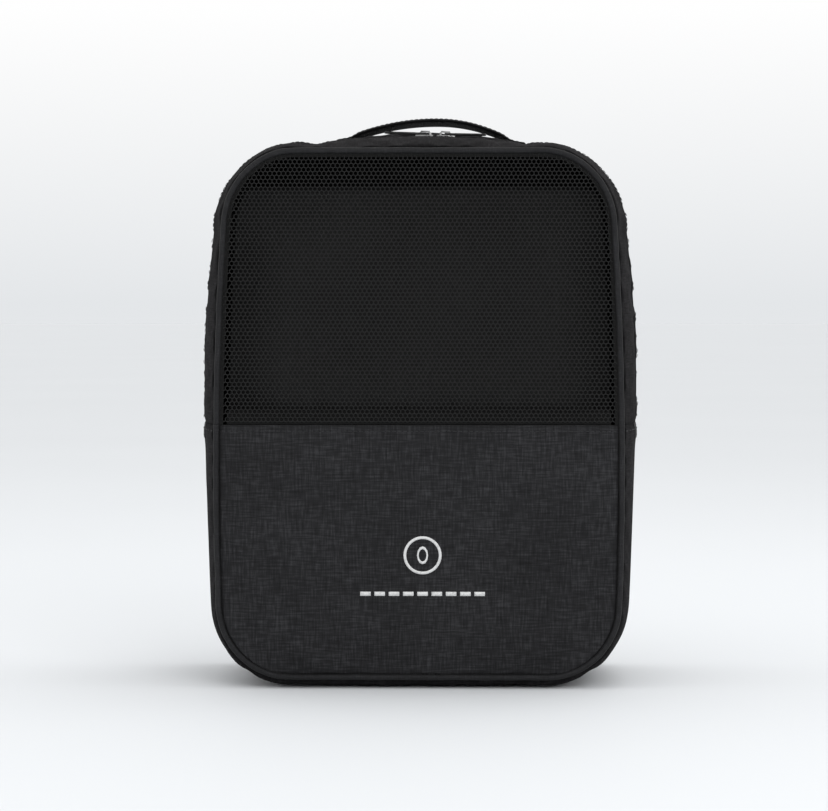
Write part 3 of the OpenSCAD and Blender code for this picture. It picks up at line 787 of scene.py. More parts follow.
def gussetStitches():
    part, normals = gusset["flap"]
    stitchLine("flapZipStitches", (part - normals * 0.12 * mm)[:, -3], normals[:, -3], "flap")
    part, normals = gusset["rear"]
    stitchLine("rearZipStitches", (part - normals * 0.12 * mm)[:, 2], normals[:, 2], "bag")
    part, normals = gusset["base"]
    for name, row in (("leftSeamStitches", 2), ("rightSeamStitches", -3)):
        stitchLine(name, (part - normals * 0.12 * mm)[row, 1:-1], normals[row, 1:-1], "bag")


gussetStitches()


# front and back panels
panelLook = {"inset": 3.3 * mm, "crown": 3.0 * mm, "fall": 14 * mm, "tuck": 0.7 * mm, "tuckWide": 1.5 * mm,
             "step": 3.4 * mm, "grow": 0.02, "pressure": 1.4, "cap": 2.0 * mm, "inward": 0.3 * mm, "frames": 20,
             "fabric": 0.9 * mm, "pucker": 0.4 * mm, "groove": 1.0 * mm}


def panelRows(z0, z1, inset, step):
    # heights and half widths of a panel's rows, closer together round the corners
    r = bagShape["cornerRadius"] - inset
    low, high = baseZ + bagShape["cornerRadius"], topZ - bagShape["cornerRadius"]
    arc = max(6, round(r * math.pi / 2 / step))
    heights = []
    if z0 < low:
        heights += list(low - r * np.cos(np.linspace(0, np.pi / 2, arc + 1))[:-1])
        start = low
    else:
        start = z0
    stop = min(z1, high)
    heights += list(np.linspace(start, stop, max(2, round((stop - start) / step)) + 1))
    if z1 > high:
        heights += list(high + r * np.sin(np.linspace(0, np.pi / 2, arc + 1))[1:])
    z = np.array(heights)
    over = np.maximum(0, low - z) + np.maximum(0, z - high)
    half = (cornerX + np.sqrt(np.maximum(0, r * r - over * over))) * narrowing(z)
    return z, half


def crownOf(distances, fall):
    total = 1.0
    for d in distances:
        total = total * (1 - np.exp(-np.maximum(d, 0) / fall))
    return total


def panelGrid(z0, z1, face, crown, look, lowSeamOnly=False, cols=66):
    z, half = panelRows(z0, z1, look["inset"], look["step"])
    close = look["groove"] / halfWide * np.array([0, 1, 2.2])
    k = np.concatenate([close - 1, np.linspace(-1, 1, cols)[2:-2], 1 - close[::-1]])
    x = half[:, None] * k[None, :]
    zz = np.broadcast_to(z[:, None], x.shape)
    dist = (half[:, None] - np.abs(x), zz - z[0], z[-1] - zz)
    nearest = np.minimum(np.minimum(dist[0], dist[1]), dist[2])
    lift = crown * crownOf(dist, look["fall"]) - look["tuck"] * np.exp(-(nearest / look["tuckWide"]) ** 2)
    y = face - lift
    # painted shade along the sewn edges, for the seam attribute
    sewn = np.minimum(dist[0], dist[1]) if lowSeamOnly else nearest
    shade = np.exp(-(sewn / look["groove"]) ** 2)
    return np.stack([x, y, zz], axis=-1), z, k * halfWide, nearest, shade


def settlePanel(points, us, vs, look):
    sheet = gridObject("panelCloth", points, us, vs, None)
    pins = np.zeros(points.shape[:2])
    pins[[0, 1, -2, -1]] = 1
    pins[:, [0, 1, -2, -1]] = 1
    found = settleCloth(sheet, pins.ravel(), look["pressure"], look["grow"], look["frames"]).reshape(points.shape)
    bpy.data.objects.remove(sheet)
    return limitMove(points, found, gridNormals(points), look["cap"], look["inward"])


def panelPuckers(points, nearest, z, amount):
    reach = 8 * mm
    length = z[:, None] + points[..., 0] * 0.8
    fall = np.exp(-nearest / reach) * np.sin(np.pi * np.clip(nearest / reach, 0, 1))
    points[..., 1] -= amount * fall * softNoise(length, 5, 8 * mm)


def makeLowerFront():
    p = panelLook
    lowZ = baseZ + p["inset"]
    points, z, vs, nearest, shade = panelGrid(lowZ, foldZ - 0.2 * mm, panelY, p["crown"], p, lowSeamOnly=True)
    points = settlePanel(points, z, vs, p)
    panelPuckers(points, nearest, z, p["pucker"])
    panel = gridObject("lowerFrontPanel", points, z, vs, cloths["twoToneOxford"], flatUv=True, seam=shade)
    thicken(panel, p["fabric"], 1, roundEdge=False)
    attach(panel, "bag")
    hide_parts("lower_front_panel")
    normals = gridNormals(points)
    row = len(z) - 1 - max(1, round(2.6 * mm / p["step"]))
    path = points[row, 1:-1] + normals[row, 1:-1] * -0.05 * mm
    stitchLine("hemStitches", path, normals[row, 1:-1], "bag")
    return panel


lowerFront = makeLowerFront()


def makeBack():
    p = panelLook
    lowZ = baseZ + p["inset"]
    points, z, vs, nearest, shade = panelGrid(lowZ, topZ - p["inset"], panelY, p["crown"] * 1.3, p)
    points = settlePanel(points, z, vs, p)
    panelPuckers(points, nearest, z, p["pucker"])
    turned = points[:, ::-1] * np.array([1, -1, 1])  # seen from behind
    panel = gridObject("backPanel", turned, z, vs, cloths["twoToneOxford"], flatUv=True, seam=shade[:, ::-1])
    faceUp = sum(f.normal.y for f in panel.data.polygons)
    if faceUp < 0:
        panel.data.flip_normals()
    thicken(panel, p["fabric"], 1, roundEdge=False)
    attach(panel, "bag")
    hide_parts("back_panel")


makeBack()


liningLook = {"inset": 5 * mm, "belowFold": 0.4 * mm, "crown": 1.2 * mm, "offFoam": 0.3 * mm,
              "wave": 0.35 * mm, "waveLong": 60 * mm, "waveFrom": 20 * mm, "thick": 0.5 * mm}


def makePanelLinings():
    g = liningLook
    for name, node, upTo in (("lowerFrontLining", "lower_front_lining", foldZ - g["belowFold"]),
                             ("backLining", "back_lining", topZ - g["inset"])):
        look = dict(panelLook, inset=g["inset"], tuck=0)
        back = node == "back_lining"
        face = corner(node, 0, "y")
        points, z, vs, nearest = panelGrid(baseZ + g["inset"], upTo, 0, g["crown"], look, cols=48)[:4]
        slant = points[..., 0] + points[..., 2] * 0.6
        wave = g["wave"] * softNoise(slant, 31, g["waveLong"]) * np.clip(nearest / g["waveFrom"], 0, 1)
        # a lining lies loosely on its foam, on the inner side
        inward = points[..., 1] * (1 if back else -1) + wave
        points[..., 1] = face + g["offFoam"] + inward
        obj = gridObject(name, points, z, vs, cloths["liningCloth"], flatUv=True)
        if not back:
            obj.data.flip_normals()
        thicken(obj, g["thick"], 0, roundEdge=False)
        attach(obj, "bag")
        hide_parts(node)


makePanelLinings()
print("panels ready")


# piping
pipingLook = {"step": 2.6 * mm, "sides": 16, "uneven": 0.02, "unevenLong": 7 * mm, "wander": 0.12 * mm,
              "wanderLong": 23 * mm, "darkFrom": 0.6, "darkOver": 0.25, "darkest": 0.97}


def pipingPath(run, y):
    r = pipingD / 2
    path = place(run, np.full(len(run), -r), [y])[:, 0]
    outer = place(run, np.zeros(len(run)), [y])[:, 0]
    side = outer - path
    return path, side / np.linalg.norm(side, axis=1, keepdims=True)


def makePiping():
    g = pipingLook
    step, r = g["step"], pipingD / 2
    for name, run, y, body, node, closed in (
        ("flapPiping", upperRun(step), frontY + r, "flap", "flap_piping", False),
        ("lowerFrontPiping", lowerRun(step), frontY + r, "bag", "lower_front_piping", False),
        ("backPiping", loopRun(step), backY - r, "bag", "back_piping", True),
    ):
        path, side = pipingPath(run, y)
        length = runLengths(run)
        radius = r * (1 + g["uneven"] * softNoise(length, len(name), g["unevenLong"]))
        path = path + side * (g["wander"] * softNoise(length, 3 + len(name), g["wanderLong"]))[:, None]
        # painted shade: the tube's two flanks, towards the gusset and towards the panel, are darkened
        turned = np.abs(np.cos(np.linspace(0, 2 * np.pi, g["sides"], endpoint=False)))
        shade = g["darkest"] * np.clip((turned - g["darkFrom"]) / g["darkOver"], 0, 1)[None, :]
        tube = sweepTube(name, path, side, radius, g["sides"], cloths["pipingCloth"], closed, seam=shade)
        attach(tube, body)
        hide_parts(node)


makePiping()


# seam bindings inside, and the tape over the mesh's lower edge
def ribbonLoop(name, run, ring, material, body, node, closed=False):
    # ring is a closed outline of (out, y) pairs, swept along the run
    ring = np.array(ring)
    points = np.concatenate([place(run, np.full(len(run), o), [y]) for o, y in ring], axis=1)
    us = runLengths(run)
    obj = gridObject(name, points, us, lengthsAlong(ring), material, closed, True)
    closeEnds(obj, not closed)
    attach(obj, body)
    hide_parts(node)
    return obj


def foldedRing(out0, out1, y0, y1, steps=4):  # a flat tape folded over, with round edges
    r = abs(out1 - out0) / 2
    mid = (out0 + out1) / 2
    ring = []
    for cy, a0 in ((y1 - r, -90), (y0 + r, 90)):
        for k in range(steps + 1):
            a = math.radians(a0 + 180 * k / steps)
            ring.append((mid + r * math.sin(a), cy + r * math.cos(a)))
    return ring


bindingLook = {"step": 4 * mm, "cloth": 2.4 * mm, "room": 0.3 * mm, "thick": 2 * mm}


def makeBindings():
    step, thick = bindingLook["step"], bindingLook["thick"]
    wall = bindingLook["cloth"] + bagShape["edgeIn"] + bindingLook["room"]
    for name, run, node, body, closed in (
        ("flapBinding", upperRun(step), "flap_binding", "flap", False),
        ("lowerFrontBinding", lowerRun(step), "lower_front_binding", "bag", False),
        ("backBinding", loopRun(step), "back_binding", "bag", True),
    ):
        y0, y1 = corner(node, 0, "y"), corner(node, 1, "y")
        ribbonLoop(name, run, foldedRing(-wall - thick, -wall, y0, y1), cloths["bindingTape"], body, node,
                   closed)


makeBindings()


# mesh window
netLook = {"pitch": 2.6 * mm, "crown": 2.2 * mm, "fall": 22 * mm, "inset": 3.6 * mm}


def makeWindow():
    n = netLook
    pitch = n["pitch"]
    z0, z1 = foldZ + 0.8 * mm, topZ - n["inset"]
    rowGap = pitch * math.sqrt(3) / 2
    zs = np.arange(z0 + 0.6 * pitch, z1 - 0.6 * pitch, rowGap)
    points = []
    r = bagShape["cornerRadius"] - n["inset"]
    high = topZ - bagShape["cornerRadius"]
    faceY = corner("mesh_window", 0, "y") + 0.35 * mm
    for i, z in enumerate(zs):
        over = max(0, z - high)
        half = (cornerX + math.sqrt(max(0, r * r - over * over))) * narrowing(z)
        count = int((half - 0.4 * pitch) / pitch)
        xs = (np.arange(-count, count + 1) + (0.5 if i % 2 else 0)) * pitch
        xs = xs[np.abs(xs) < half - 0.45 * pitch]
        toEdges = (half - np.abs(xs), np.full(len(xs), z - z0), np.full(len(xs), z1 - z))
        lift = n["crown"] * crownOf(toEdges, n["fall"])
        points.append(np.column_stack([xs, faceY - lift, np.full(len(xs), z)]))
    points = np.vstack(points)
    net = repeatAlong("meshWindow", netTree, netPiece, {"Hole Pitch": pitch}, netNylon, points,
                      (1, 0, 0), (0, 0, 1))
    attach(net, "flap")
    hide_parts("mesh_window")
    print("net of", len(points), "knots,", len(net.data.polygons), "faces")
    # the net's edge is caught between the piping and a narrow tape
    run = upperRun(3 * mm)
    ring = [(-3.0 * mm, faceY + 0.3 * mm), (-5.6 * mm, faceY + 0.3 * mm), (-5.6 * mm, faceY + 0.9 * mm),
            (-3.0 * mm, faceY + 0.9 * mm)]
    hem = ribbonHem("windowEdge", run, ring)
    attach(hem, "flap")
    seamTape()


def ribbonHem(name, run, ring):
    ring = np.array(ring)
    points = np.concatenate([place(run, np.full(len(run), o), [y]) for o, y in ring], axis=1)
    obj = gridObject(name, points, runLengths(run), np.linspace(0, 6 * mm, len(ring)), cloths["bindingTape"],
                     False, True)
    closeEnds(obj)
    obj.data.shade_flat()
    return obj


def seamTape():
    low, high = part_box("window_seam_tape")
    xs = np.linspace(low.x, high.x, 60)
    zs = np.linspace(low.z, high.z, 5)
    bulge = 0.25 * mm * np.sin(np.linspace(0, np.pi, 5))
    points = np.array([[(x, low.y - b, z) for x in xs] for z, b in zip(zs, bulge)])
    tape = gridObject("windowSeamTape", points, zs, xs, cloths["bindingTape"])
    thicken(tape, 0.9 * mm, 1)
    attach(tape, "flap")
    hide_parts("window_seam_tape")


makeWindow()
print("window ready")


# zip
zipLook = {"dip": 0.8 * mm, "wall": 2.4 * mm, "gap": 0.15 * mm, "tape": 0.7 * mm, "reach": 14 * mm,
           "postRoom": 1.3 * mm, "toothPitch": 1.35 * mm, "toothReach": 2.4 * mm, "toothHigh": 1.75 * mm,
           "coilLift": 0.25 * mm, "postPart": 1.1 * mm,
           "pullRoom": 0.8 * mm, "pullRoomAt": 75 * mm, "pullRoomLong": 9 * mm}
sliderBoxes = [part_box("left_slider"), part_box("right_slider")]
meetX = (sliderBoxes[0][1].x + sliderBoxes[1][0].x) / 2
sliderLong = sliderBoxes[0][1].x - sliderBoxes[0][0].x


def tapeSkin(run, ys):
    ys = np.asarray(ys)
    fromLimit = np.abs(run[:, :1] * topNarrow) - zipLook["pullRoomAt"]
    room = zipLook["pullRoom"] * np.exp(-(fromLimit / zipLook["pullRoomLong"]) ** 2)
    level = np.broadcast_to(skin(run, [zipY]) - zipLook["dip"] - room, (len(run), len(ys)))
    inSlit = np.abs(ys - zipY) < (slitBack - slitFront) / 2
    return np.where(inSlit[None, :], level, skin(run, ys)) - zipLook["wall"] - zipLook["gap"]


def makeTape(name, side, body, node):
    run = upperRun(3.6 * mm)
    half = (slitBack - slitFront) / 2
    ys = zipY + side * np.array([zipLook["postRoom"], 3 * mm, half - 0.5 * mm, half + 1.5 * mm, half + 4 * mm,
                                 zipLook["reach"]])
    if side < 0:
        ys = ys[::-1]
    points = place(run, tapeSkin(run, ys), ys)
    tape = gridObject(name, points, runLengths(run), ys, cloths["zipTape"])
    thicken(tape, zipLook["tape"] * 0.95, 0, roundEdge=False)
    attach(tape, body)
    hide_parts(node)


def makeCoil(name, side, body, node):
    fine = upperRun(1.2 * mm)
    lengths = runLengths(fine)
    level = tapeSkin(fine, [zipY])[:, 0] + zipLook["coilLift"]
    x = fine[:, 0] * topNarrow
    onTop = fine[:, 3] > 0.99
    part = np.where(onTop, zipLook["postPart"] * ease((0.95 - np.abs(x - meetX) / sliderLong) / 0.4), 0)
    path = place(fine, level, [zipY])[:, 0]
    path[:, 1] += side * (0.1 * mm + part)
    above = place(fine, level + 1 * mm, [zipY])[:, 0]
    ups = above - place(fine, level, [zipY])[:, 0]
    count = int(lengths[-1] / zipLook["toothPitch"])
    where = (np.arange(count) + (0.25 if side > 0 else 0.75)) * lengths[-1] / count
    points, up = pickAlong(where, lengths, path), pickAlong(where, lengths, ups)
    # a tooth's y runs from its head to the tape, so the front row is turned about
    along = np.gradient(points, axis=0) * (-1 if side > 0 else 1)
    coil = repeatAlong(name, coilTree, toothPiece,
                       {"Tooth Pitch": zipLook["toothPitch"], "Tooth Reach": zipLook["toothReach"],
                        "Tooth Height": zipLook["toothHigh"]}, coilNylon, points, along, up)
    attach(coil, body)
    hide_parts(node)


makeTape("rearZipTape", 1, "bag", "rear_zip_tape")
makeTape("flapZipTape", -1, "flap", "flap_zip_tape")
makeCoil("rearZipCoil", 1, "bag", "rear_zip_coil")
makeCoil("flapZipCoil", -1, "flap", "flap_zip_coil")


def softenedCopy(name, node, body, width, material, bend=0):  # a moulded metal piece with rounded edges
    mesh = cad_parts[node].data.copy()
    bm = bmesh.new()
    bm.from_mesh(mesh)
    bmesh.ops.remove_doubles(bm, verts=bm.verts, dist=0.002 * mm)
    bmesh.ops.dissolve_limit(bm, angle_limit=math.radians(1.5), verts=bm.verts, edges=bm.edges)
    bm.to_mesh(mesh)
    bm.free()
    obj = addObject(name, mesh, material)
    bevel = obj.modifiers.new("edge", "BEVEL")
    bevel.width = width
    bevel.segments = 2
    bevel.limit_method = "ANGLE"
    bevel.angle_limit = math.radians(35)
    bevel.use_clamp_overlap = True
    bakeModifiers(obj)
    bm = bmesh.new()
    bm.from_mesh(obj.data)
    bmesh.ops.triangulate(bm, faces=[f for f in bm.faces if len(f.verts) > 4])
    for edge in bm.edges:
        edge.smooth = len(edge.link_faces) < 2 or edge.calc_face_angle(0) < math.radians(40)
    low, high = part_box(node)
    for vert in bm.verts:  # the free end turns up, so that it clears the coil at the zip's ends
        reach = (vert.co.x - low.x) / (high.x - low.x)
        vert.co.z += abs(bend) * (reach if bend > 0 else 1 - reach) ** 2
    bm.to_mesh(obj.data)
    bm.free()
    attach(obj, body)
    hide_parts(node)
    return obj


pullLook = {"softEdge": 0.2 * mm, "bend": 0.5 * mm}
for side, way in (("left", -1), ("right", 1)):
    softenedCopy(side + "Slider", side + "_slider", side + "_slider", 0.16 * mm, zipMetal)
    softenedCopy(side + "Pull", side + "_pull", side + "_pull", pullLook["softEdge"], blackMetal,
                 way * pullLook["bend"])


tabLook = {"rows": 7, "cols": 15, "lift": 0.35 * mm, "thick": 0.6 * mm, "stitchPitch": 3.0 * mm}


def makeEndTabs():
    g = tabLook
    rows = g["rows"]
    low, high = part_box("zip_end_tabs")
    graph = bpy.context.evaluated_depsgraph_get()
    trees = [BVHTree.FromObject(bpy.data.objects[name], graph)
             for name in ("flapGusset", "rearGusset", "baseGusset")]
    parts = []
    for side in (-1, 1):
        zs = np.linspace(high.z, low.z, rows)
        run = np.column_stack([np.full(rows, side * halfWide), zs, np.full(rows, side), np.zeros(rows)])
        if side < 0:
            run = run[::-1]
        ys = np.linspace(low.y, high.y, g["cols"])
        points = place(run, skin(run, ys), ys)
        for row in points:
            for point in row:
                hits = [tree.ray_cast(Vector((side * 0.2, point[1], point[2])), Vector((-side, 0, 0)))[0]
                        for tree in trees]
                point[0] = max([side * hit.x for hit in hits if hit] + [side * point[0] - mm]) * side
        for _ in range(2):
            points[1:-1, 1:-1, 0] = (points[1:-1, 1:-1, 0] + points[:-2, 1:-1, 0] + points[2:, 1:-1, 0]
                                     + points[1:-1, :-2, 0] + points[1:-1, 2:, 0]) / 5
        points[..., 0] += side * g["lift"]
        tab = gridObject("zipEndTab", points, zs, ys, cloths["bindingTape"])
        if sum(f.normal.x * side for f in tab.data.polygons) < 0:
            tab.data.flip_normals()
        thicken(tab, g["thick"], 1)
        parts.append(tab)
        line = points - np.array([side * 0.1 * mm, 0, 0])
        for row in (1, -2):
            stitchLine("tabStitches%d%d" % (side + 1, row + 2), line[row, 1:-1], (side, 0, 0), "bag",
                       g["stitchPitch"])
    joined = joinParts(parts, "zipEndTabs")
    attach(joined, "bag")
    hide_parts("zip_end_tabs")


makeEndTabs()
print("zip ready")


# handle
strapLook = {"sewn": 10 * mm, "rise": 7 * mm, "peak": 8 * mm, "lift": 1.45 * mm, "flatEnd": 0.62}
strapLow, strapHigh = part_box("handle_strap")
strapThick = 2.5 * mm


def strapArch(x):
    free = strapHalfLong - strapLook["sewn"]
    off = x - strapX - strapLook["peak"]
    k = np.clip(np.abs(off) / (free - np.sign(off) * strapLook["peak"]), 0, 1)
    return strapLook["rise"] * (1 - k ** 2)


def topRun(xs):
    return np.column_stack([xs / topNarrow, np.full(len(xs), topZ), np.zeros(len(xs)), np.ones(len(xs))])


def strapSurface(xs, ys, lift):
    run = topRun(xs)
    return place(run, skin(run, ys) + np.reshape(lift, (-1, 1)) + strapArch(xs)[:, None], ys)


def makeHandle():
    midY, halfY = (strapLow.y + strapHigh.y) / 2, (strapHigh.y - strapLow.y) / 2
    xs = strapX + np.linspace(-strapHalfLong, strapHalfLong, 92)
    # a padded strap: thick in the middle of its width, thin where its edges are stitched
    across = np.linspace(-1, 1, 15)
    puff = 1 - 0.42 * np.abs(across) ** 5
    puff[[0, -1]] = 0.3
    ys = midY + halfY * across
    fromEnd = strapHalfLong - np.abs(xs - strapX)
    freed = ease((fromEnd - 0.6 * strapLook["sewn"]) / (9 * mm))
    ends = strapLook["flatEnd"] + (1 - strapLook["flatEnd"]) * freed
    ends[[0, -1]] = 0.3
    lifts = strapLook["lift"] * (0.45 + 0.55 * freed)
    middle = (lifts + strapThick / 2 * ends)[:, None]
    half = strapThick / 2 * puff[None, :] * ends[:, None]
    stitched = np.exp(-((np.abs(across) - 0.78) / 0.05) ** 2)
    half = half - 0.28 * mm * stitched[None, :]
    ripple = 0.08 * mm * softNoise(xs, 41, 14 * mm)[:, None] * np.ones(len(ys))
    top = strapSurface(xs, ys, middle) + np.stack([0 * half, 0 * half, half + ripple], -1)
    under = strapSurface(xs, ys, middle) - np.stack([0 * half, 0 * half, half], -1)
    ring = np.concatenate([top, under[:, ::-1]], axis=1)
    vs = np.concatenate([ys, ys[::-1] + 0.03])
    strap = gridObject("handleStrap", ring[::-1], -xs[::-1], vs, cloths["strapWeb"], False, True)
    closeEnds(strap)
    sub = strap.modifiers.new("smooth", "SUBSURF")
    sub.levels = sub.render_levels = 1
    bakeModifiers(strap)
    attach(strap, "bag")
    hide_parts("handle_strap")

    topAt = lambda x: np.interp(x, xs, lifts + strapThick * ends) - 0.25 * mm
    surfaceAt = lambda x, y: strapSurface(np.atleast_1d(x), np.atleast_1d(y), topAt(x))[:, 0]
    for name, y in (("strapStitchesFront", midY - 0.78 * halfY), ("strapStitchesBack", midY + 0.78 * halfY)):
        stitchLine(name, surfaceAt(xs[3:-3], y), (0, 0, 1), "bag", 3.0 * mm)
    reach = strapLook["sewn"]
    for side in (-1, 1):  # a box with a cross holds each end
        x0, x1 = strapX + side * (strapHalfLong - reach), strapX + side * (strapHalfLong - 1.5 * mm)
        yA, yB = midY - 0.6 * halfY, midY + 0.6 * halfY
        ring = [(x0, yA), (x1, yA), (x1, yB), (x0, yB), (x0, yA), (x1, yB), (x1, yA), (x0, yB)]
        path = np.vstack([
            np.column_stack([np.linspace(a[0], b[0], 8), np.linspace(a[1], b[1], 8)])[:-1]
            for a, b in zip(ring, ring[1:])])
        points = np.array([surfaceAt(px, py)[0] for px, py in path])
        stitchLine("boxStitches%s" % ("Left" if side < 0 else "Right"), points, (0, 0, 1), "bag", 2.8 * mm)


patchLook = {"fromEdge": 1 * mm, "lift": 0.65 * mm, "thick": 0.5 * mm}


def makePatches():
    low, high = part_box("handle_patches")
    midY, halfY = (low.y + high.y) / 2, (high.y - low.y) / 2
    parts = []
    inner, outer = strapHalfLong - strapLook["sewn"] + patchLook["fromEdge"], strapHalfLong - patchLook["fromEdge"]
    for side in (-1, 1):
        xs = np.sort(strapX + side * np.linspace(inner, outer, 8))
        run = topRun(xs)
        ys = midY + halfY * np.linspace(-1, 1, 12)
        points = place(run, skin(run, ys) + patchLook["lift"], ys)
        patch = gridObject("handlePatch", points[::-1], xs, ys, cloths["bindingTape"])
        thicken(patch, patchLook["thick"], 0)
        parts.append(patch)
    joined = joinParts(parts, "handlePatches")
    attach(joined, "bag")
    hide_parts("handle_patches")


makeHandle()
makePatches()
print("handle ready")


# divider
dividerLook = {"inset": 7 * mm, "reach": 17.8 * mm, "thick": 2 * mm, "edgeIn": 2.7 * mm}


def makeDivider():
    d = dividerLook
    low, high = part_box("divider_panel")
    barLow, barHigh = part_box("divider_binding")
    dividerY = high.y - d["thick"]
    topEdge = barHigh.z
    hold = foldZ - 25 * mm
    cz, turn = baseZ + bagShape["cornerRadius"], bagShape["cornerRadius"]
    firstTurn = math.asin((cz - low.z) / (turn + bagShape["baseSwell"] - d["edgeIn"]))
    a = np.linspace(-firstTurn, 0, 14)
    held = np.vstack([
        np.column_stack([cornerX + turn * np.cos(a), cz + turn * np.sin(a), np.cos(a), np.sin(a)]),
        np.column_stack([np.full(18, halfWide), np.linspace(cz, hold, 19)[1:], np.ones(18), np.zeros(18)])])
    edge = place(held, skin(held, [dividerY])[:, 0] - d["edgeIn"], [dividerY])[:, 0]
    heldRows = np.column_stack([edge[:, 0], edge[:, 2]])
    zs = np.linspace(foldZ, barLow.z - 0.15 * mm, 36)
    over = np.maximum(0, zs - topZ + turn)
    r = turn - d["inset"]
    free = (cornerX + np.sqrt(np.maximum(0, r * r - over ** 2))) * narrowing(zs)
    bridge = np.linspace(hold, foldZ, 8)[1:-1]
    k = ease((bridge - hold) / (foldZ - hold))
    between = np.column_stack([heldRows[-1, 0] + (free[0] - heldRows[-1, 0]) * k, bridge])
    rows = np.vstack([heldRows, between, np.column_stack([free, zs])])
    cols = np.linspace(1, -1, 56)
    swell = (d["reach"] * ease((1 - np.abs(cols)) / 0.3)[None, :]
             * (ease((rows[:, 1] - hold) / (45 * mm)) * ease((topEdge - rows[:, 1]) / (45 * mm)))[:, None])
    soft = 0.5 * mm * softNoise(rows[:, 1][:, None] * 0.7 + cols[None, :] * 0.08, 51, 38 * mm)
    soft = soft * ease((1 - np.abs(cols)) / 0.2)[None, :]
    points = np.stack([rows[:, 0:1] * cols[None, :], dividerY - swell + soft,
                       np.broadcast_to(rows[:, 1:2], swell.shape)], -1)
    sheet = gridObject("dividerPanel", points[:, ::-1], rows[:, 1], cols * halfWide, cloths["dividerCloth"])
    thicken(sheet, d["thick"], 1)
    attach(sheet, "bag")
    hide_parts("divider_panel")
    xs = np.linspace(barLow.x, barHigh.x, 50)
    midY, midZ = (barLow.y + barHigh.y) / 2, (barLow.z + barHigh.z) / 2
    path = np.column_stack([xs, np.full(50, midY), np.full(50, midZ)])
    side = np.broadcast_to(np.array([0, 0, 1.0]), path.shape)
    bar = sweepTube("dividerBinding", path, side, (barHigh.z - barLow.z) / 2, 10, cloths["bindingTape"], False,
                    (barHigh.y - barLow.y) / (barHigh.z - barLow.z))
    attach(bar, "bag")
    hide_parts("divider_binding")


makeDivider()


# plain printed mark: a ring, a small lozenge and a dashed rule
printLook = {"middleX": 2.3 * mm, "ringZ": 78 * mm, "ringOut": 11 * mm, "ringIn": 9.4 * mm,
             "ruleZ": 54.5 * mm, "ruleLong": 72 * mm, "ruleThick": 2.4 * mm, "dashes": 9, "ink": 0.12 * mm}


def makePrint():
    p = printLook
    graph = bpy.context.evaluated_depsgraph_get()
    tree = BVHTree.FromObject(lowerFront, graph)

    def onPanel(x, z):
        hit = tree.ray_cast(Vector((x + p["middleX"], frontY - 0.05, z)), Vector((0, 1, 0)))
        return Vector((x + p["middleX"], hit[0].y - p["ink"], z))

    bm = bmesh.new()

    def strip(inner, outer, closed):
        rings = [[bm.verts.new(onPanel(x, z)) for x, z in line] for line in (inner, outer)]
        n = len(inner)
        for i in range(n if closed else n - 1):
            j = (i + 1) % n
            bm.faces.new((rings[0][i], rings[0][j], rings[1][j], rings[1][i]))

    angles = np.linspace(0, 2 * np.pi, 72, endpoint=False)
    circle = lambda r: [(r * math.cos(a), p["ringZ"] + r * math.sin(a)) for a in angles]
    strip(circle(p["ringIn"]), circle(p["ringOut"]), True)
    lozenge = lambda r: [(r * 0.62 * x, p["ringZ"] + r * z) for x, z in
                         [(math.cos(a), math.sin(a)) for a in np.radians(range(0, 360, 30))]]
    strip(lozenge(3.6 * mm), lozenge(5.2 * mm), True)
    dash = p["ruleLong"] / (p["dashes"] + (p["dashes"] - 1) * 0.35)
    for i in range(p["dashes"]):
        x0 = -p["ruleLong"] / 2 + i * dash * 1.35
        xs = np.linspace(x0, x0 + dash, 6)
        strip([(x, p["ruleZ"]) for x in xs], [(x, p["ruleZ"] + p["ruleThick"]) for x in xs], False)
    bmesh.ops.recalc_face_normals(bm, faces=bm.faces)
    mesh = bpy.data.meshes.new("printedMark")
    bm.to_mesh(mesh)
    bm.free()
    mark = addObject("printedMark", mesh, whitePrint)
    if sum(f.normal.y for f in mesh.polygons) > 0:
        mesh.flip_normals()
    thicken(mark, p["ink"] * 1.5, 0, roundEdge=False)
    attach(mark, "bag")


makePrint()


# CAD nodes that stay
for node, material in (("base_board", boardSheet), ("back_foam", foamSheet), ("lower_front_foam", foamSheet)):
    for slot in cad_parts[node].material_slots:
        slot.material = material

for piece in (stitchPiece, toothPiece, netPiece):
    bpy.data.objects.remove(piece)


# floor, light and camera
stageLook = {"horizon": (0.775, 0.795, 0.815), "sky": (1.0, 1.0, 1.0), "skyFrom": 0.1, "strength": 1.0,
             "lamps": {"key": ((0.9, -2.3, 1.5), 1.2, 15), "top": ((0.3, 0.1, 1.9), 1.0, 5),
                       "right": ((2.0, 0.3, 0.9), 1.0, 4), "left": ((-2.0, 0.3, 0.9), 1.0, 3)}}


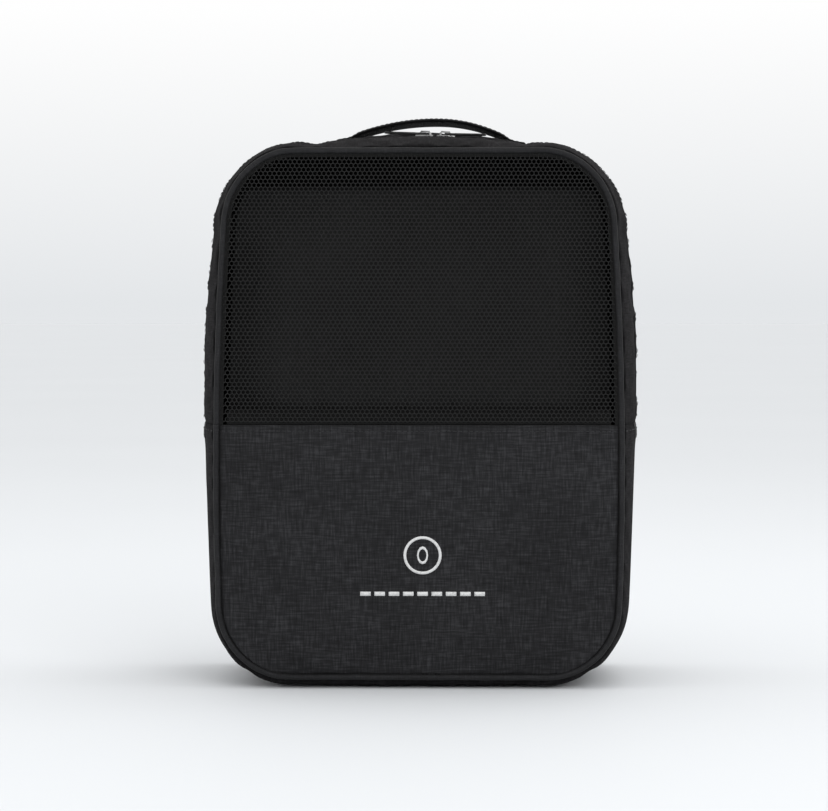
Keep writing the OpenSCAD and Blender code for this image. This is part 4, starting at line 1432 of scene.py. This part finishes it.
def makeStage():
    mesh = bpy.data.meshes.new("floor")
    size = 30
    mesh.from_pydata([(-size, -size, 0), (size, -size, 0), (size, size, 0), (-size, size, 0)], [], [(0, 1, 2, 3)])
    floor = addObject("floor", mesh, floorMaterial("paleFloor"))
    world = bpy.data.worlds.new("studio")
    scene.world = world
    world.use_nodes = True
    nodes, links = world.node_tree.nodes, world.node_tree.links
    spread = nodes.new("ShaderNodeSeparateXYZ")
    links.new(nodes.new("ShaderNodeTexCoord").outputs["Generated"], spread.inputs["Vector"])
    sky = nodes.new("ShaderNodeValToRGB")
    links.new(spread.outputs["Z"], sky.inputs["Fac"])
    sky.color_ramp.elements[0].color = (*stageLook["horizon"], 1)
    sky.color_ramp.elements[1].color = (*stageLook["sky"], 1)
    sky.color_ramp.elements[1].position = stageLook["skyFrom"]
    links.new(sky.outputs["Color"], nodes["Background"].inputs["Color"])
    nodes["Background"].inputs["Strength"].default_value = stageLook["strength"]
    for name, (where, size, power) in stageLook["lamps"].items():
        light = bpy.data.lights.new(name, "AREA")
        light.size = size
        light.energy = power
        lamp = bpy.data.objects.new(name, light)
        scene.collection.objects.link(lamp)
        lamp.location = where
        lamp.rotation_euler = (Vector((0, 0, 0.18)) - Vector(where)).to_track_quat("-Z", "Y").to_euler()


viewLook = {"distance": 1.7, "aside": 1.05, "above": 2.0, "aimX": -2.7 * mm, "aimZ": 164.3 * mm,
            "frameWide": 828 * 0.577 * mm, "sensor": 36}


def makeCamera():
    v = viewLook
    data = bpy.data.cameras.new("camera")
    camera = bpy.data.objects.new("camera", data)
    scene.collection.objects.link(camera)
    data.sensor_width = v["sensor"]
    data.lens = v["sensor"] * v["distance"] / v["frameWide"]
    aim = Vector((v["aimX"], frontY, v["aimZ"]))
    a, e = math.radians(v["aside"]), math.radians(v["above"])
    away = Vector((math.sin(a) * math.cos(e), -math.cos(a) * math.cos(e), math.sin(e)))
    camera.location = aim + away * v["distance"]
    camera.rotation_euler = (-away).to_track_quat("-Z", "Y").to_euler()
    data.clip_end = 100
    scene.camera = camera


makeStage()
makeCamera()
scene.view_settings.view_transform = "Standard"
print("stage ready")
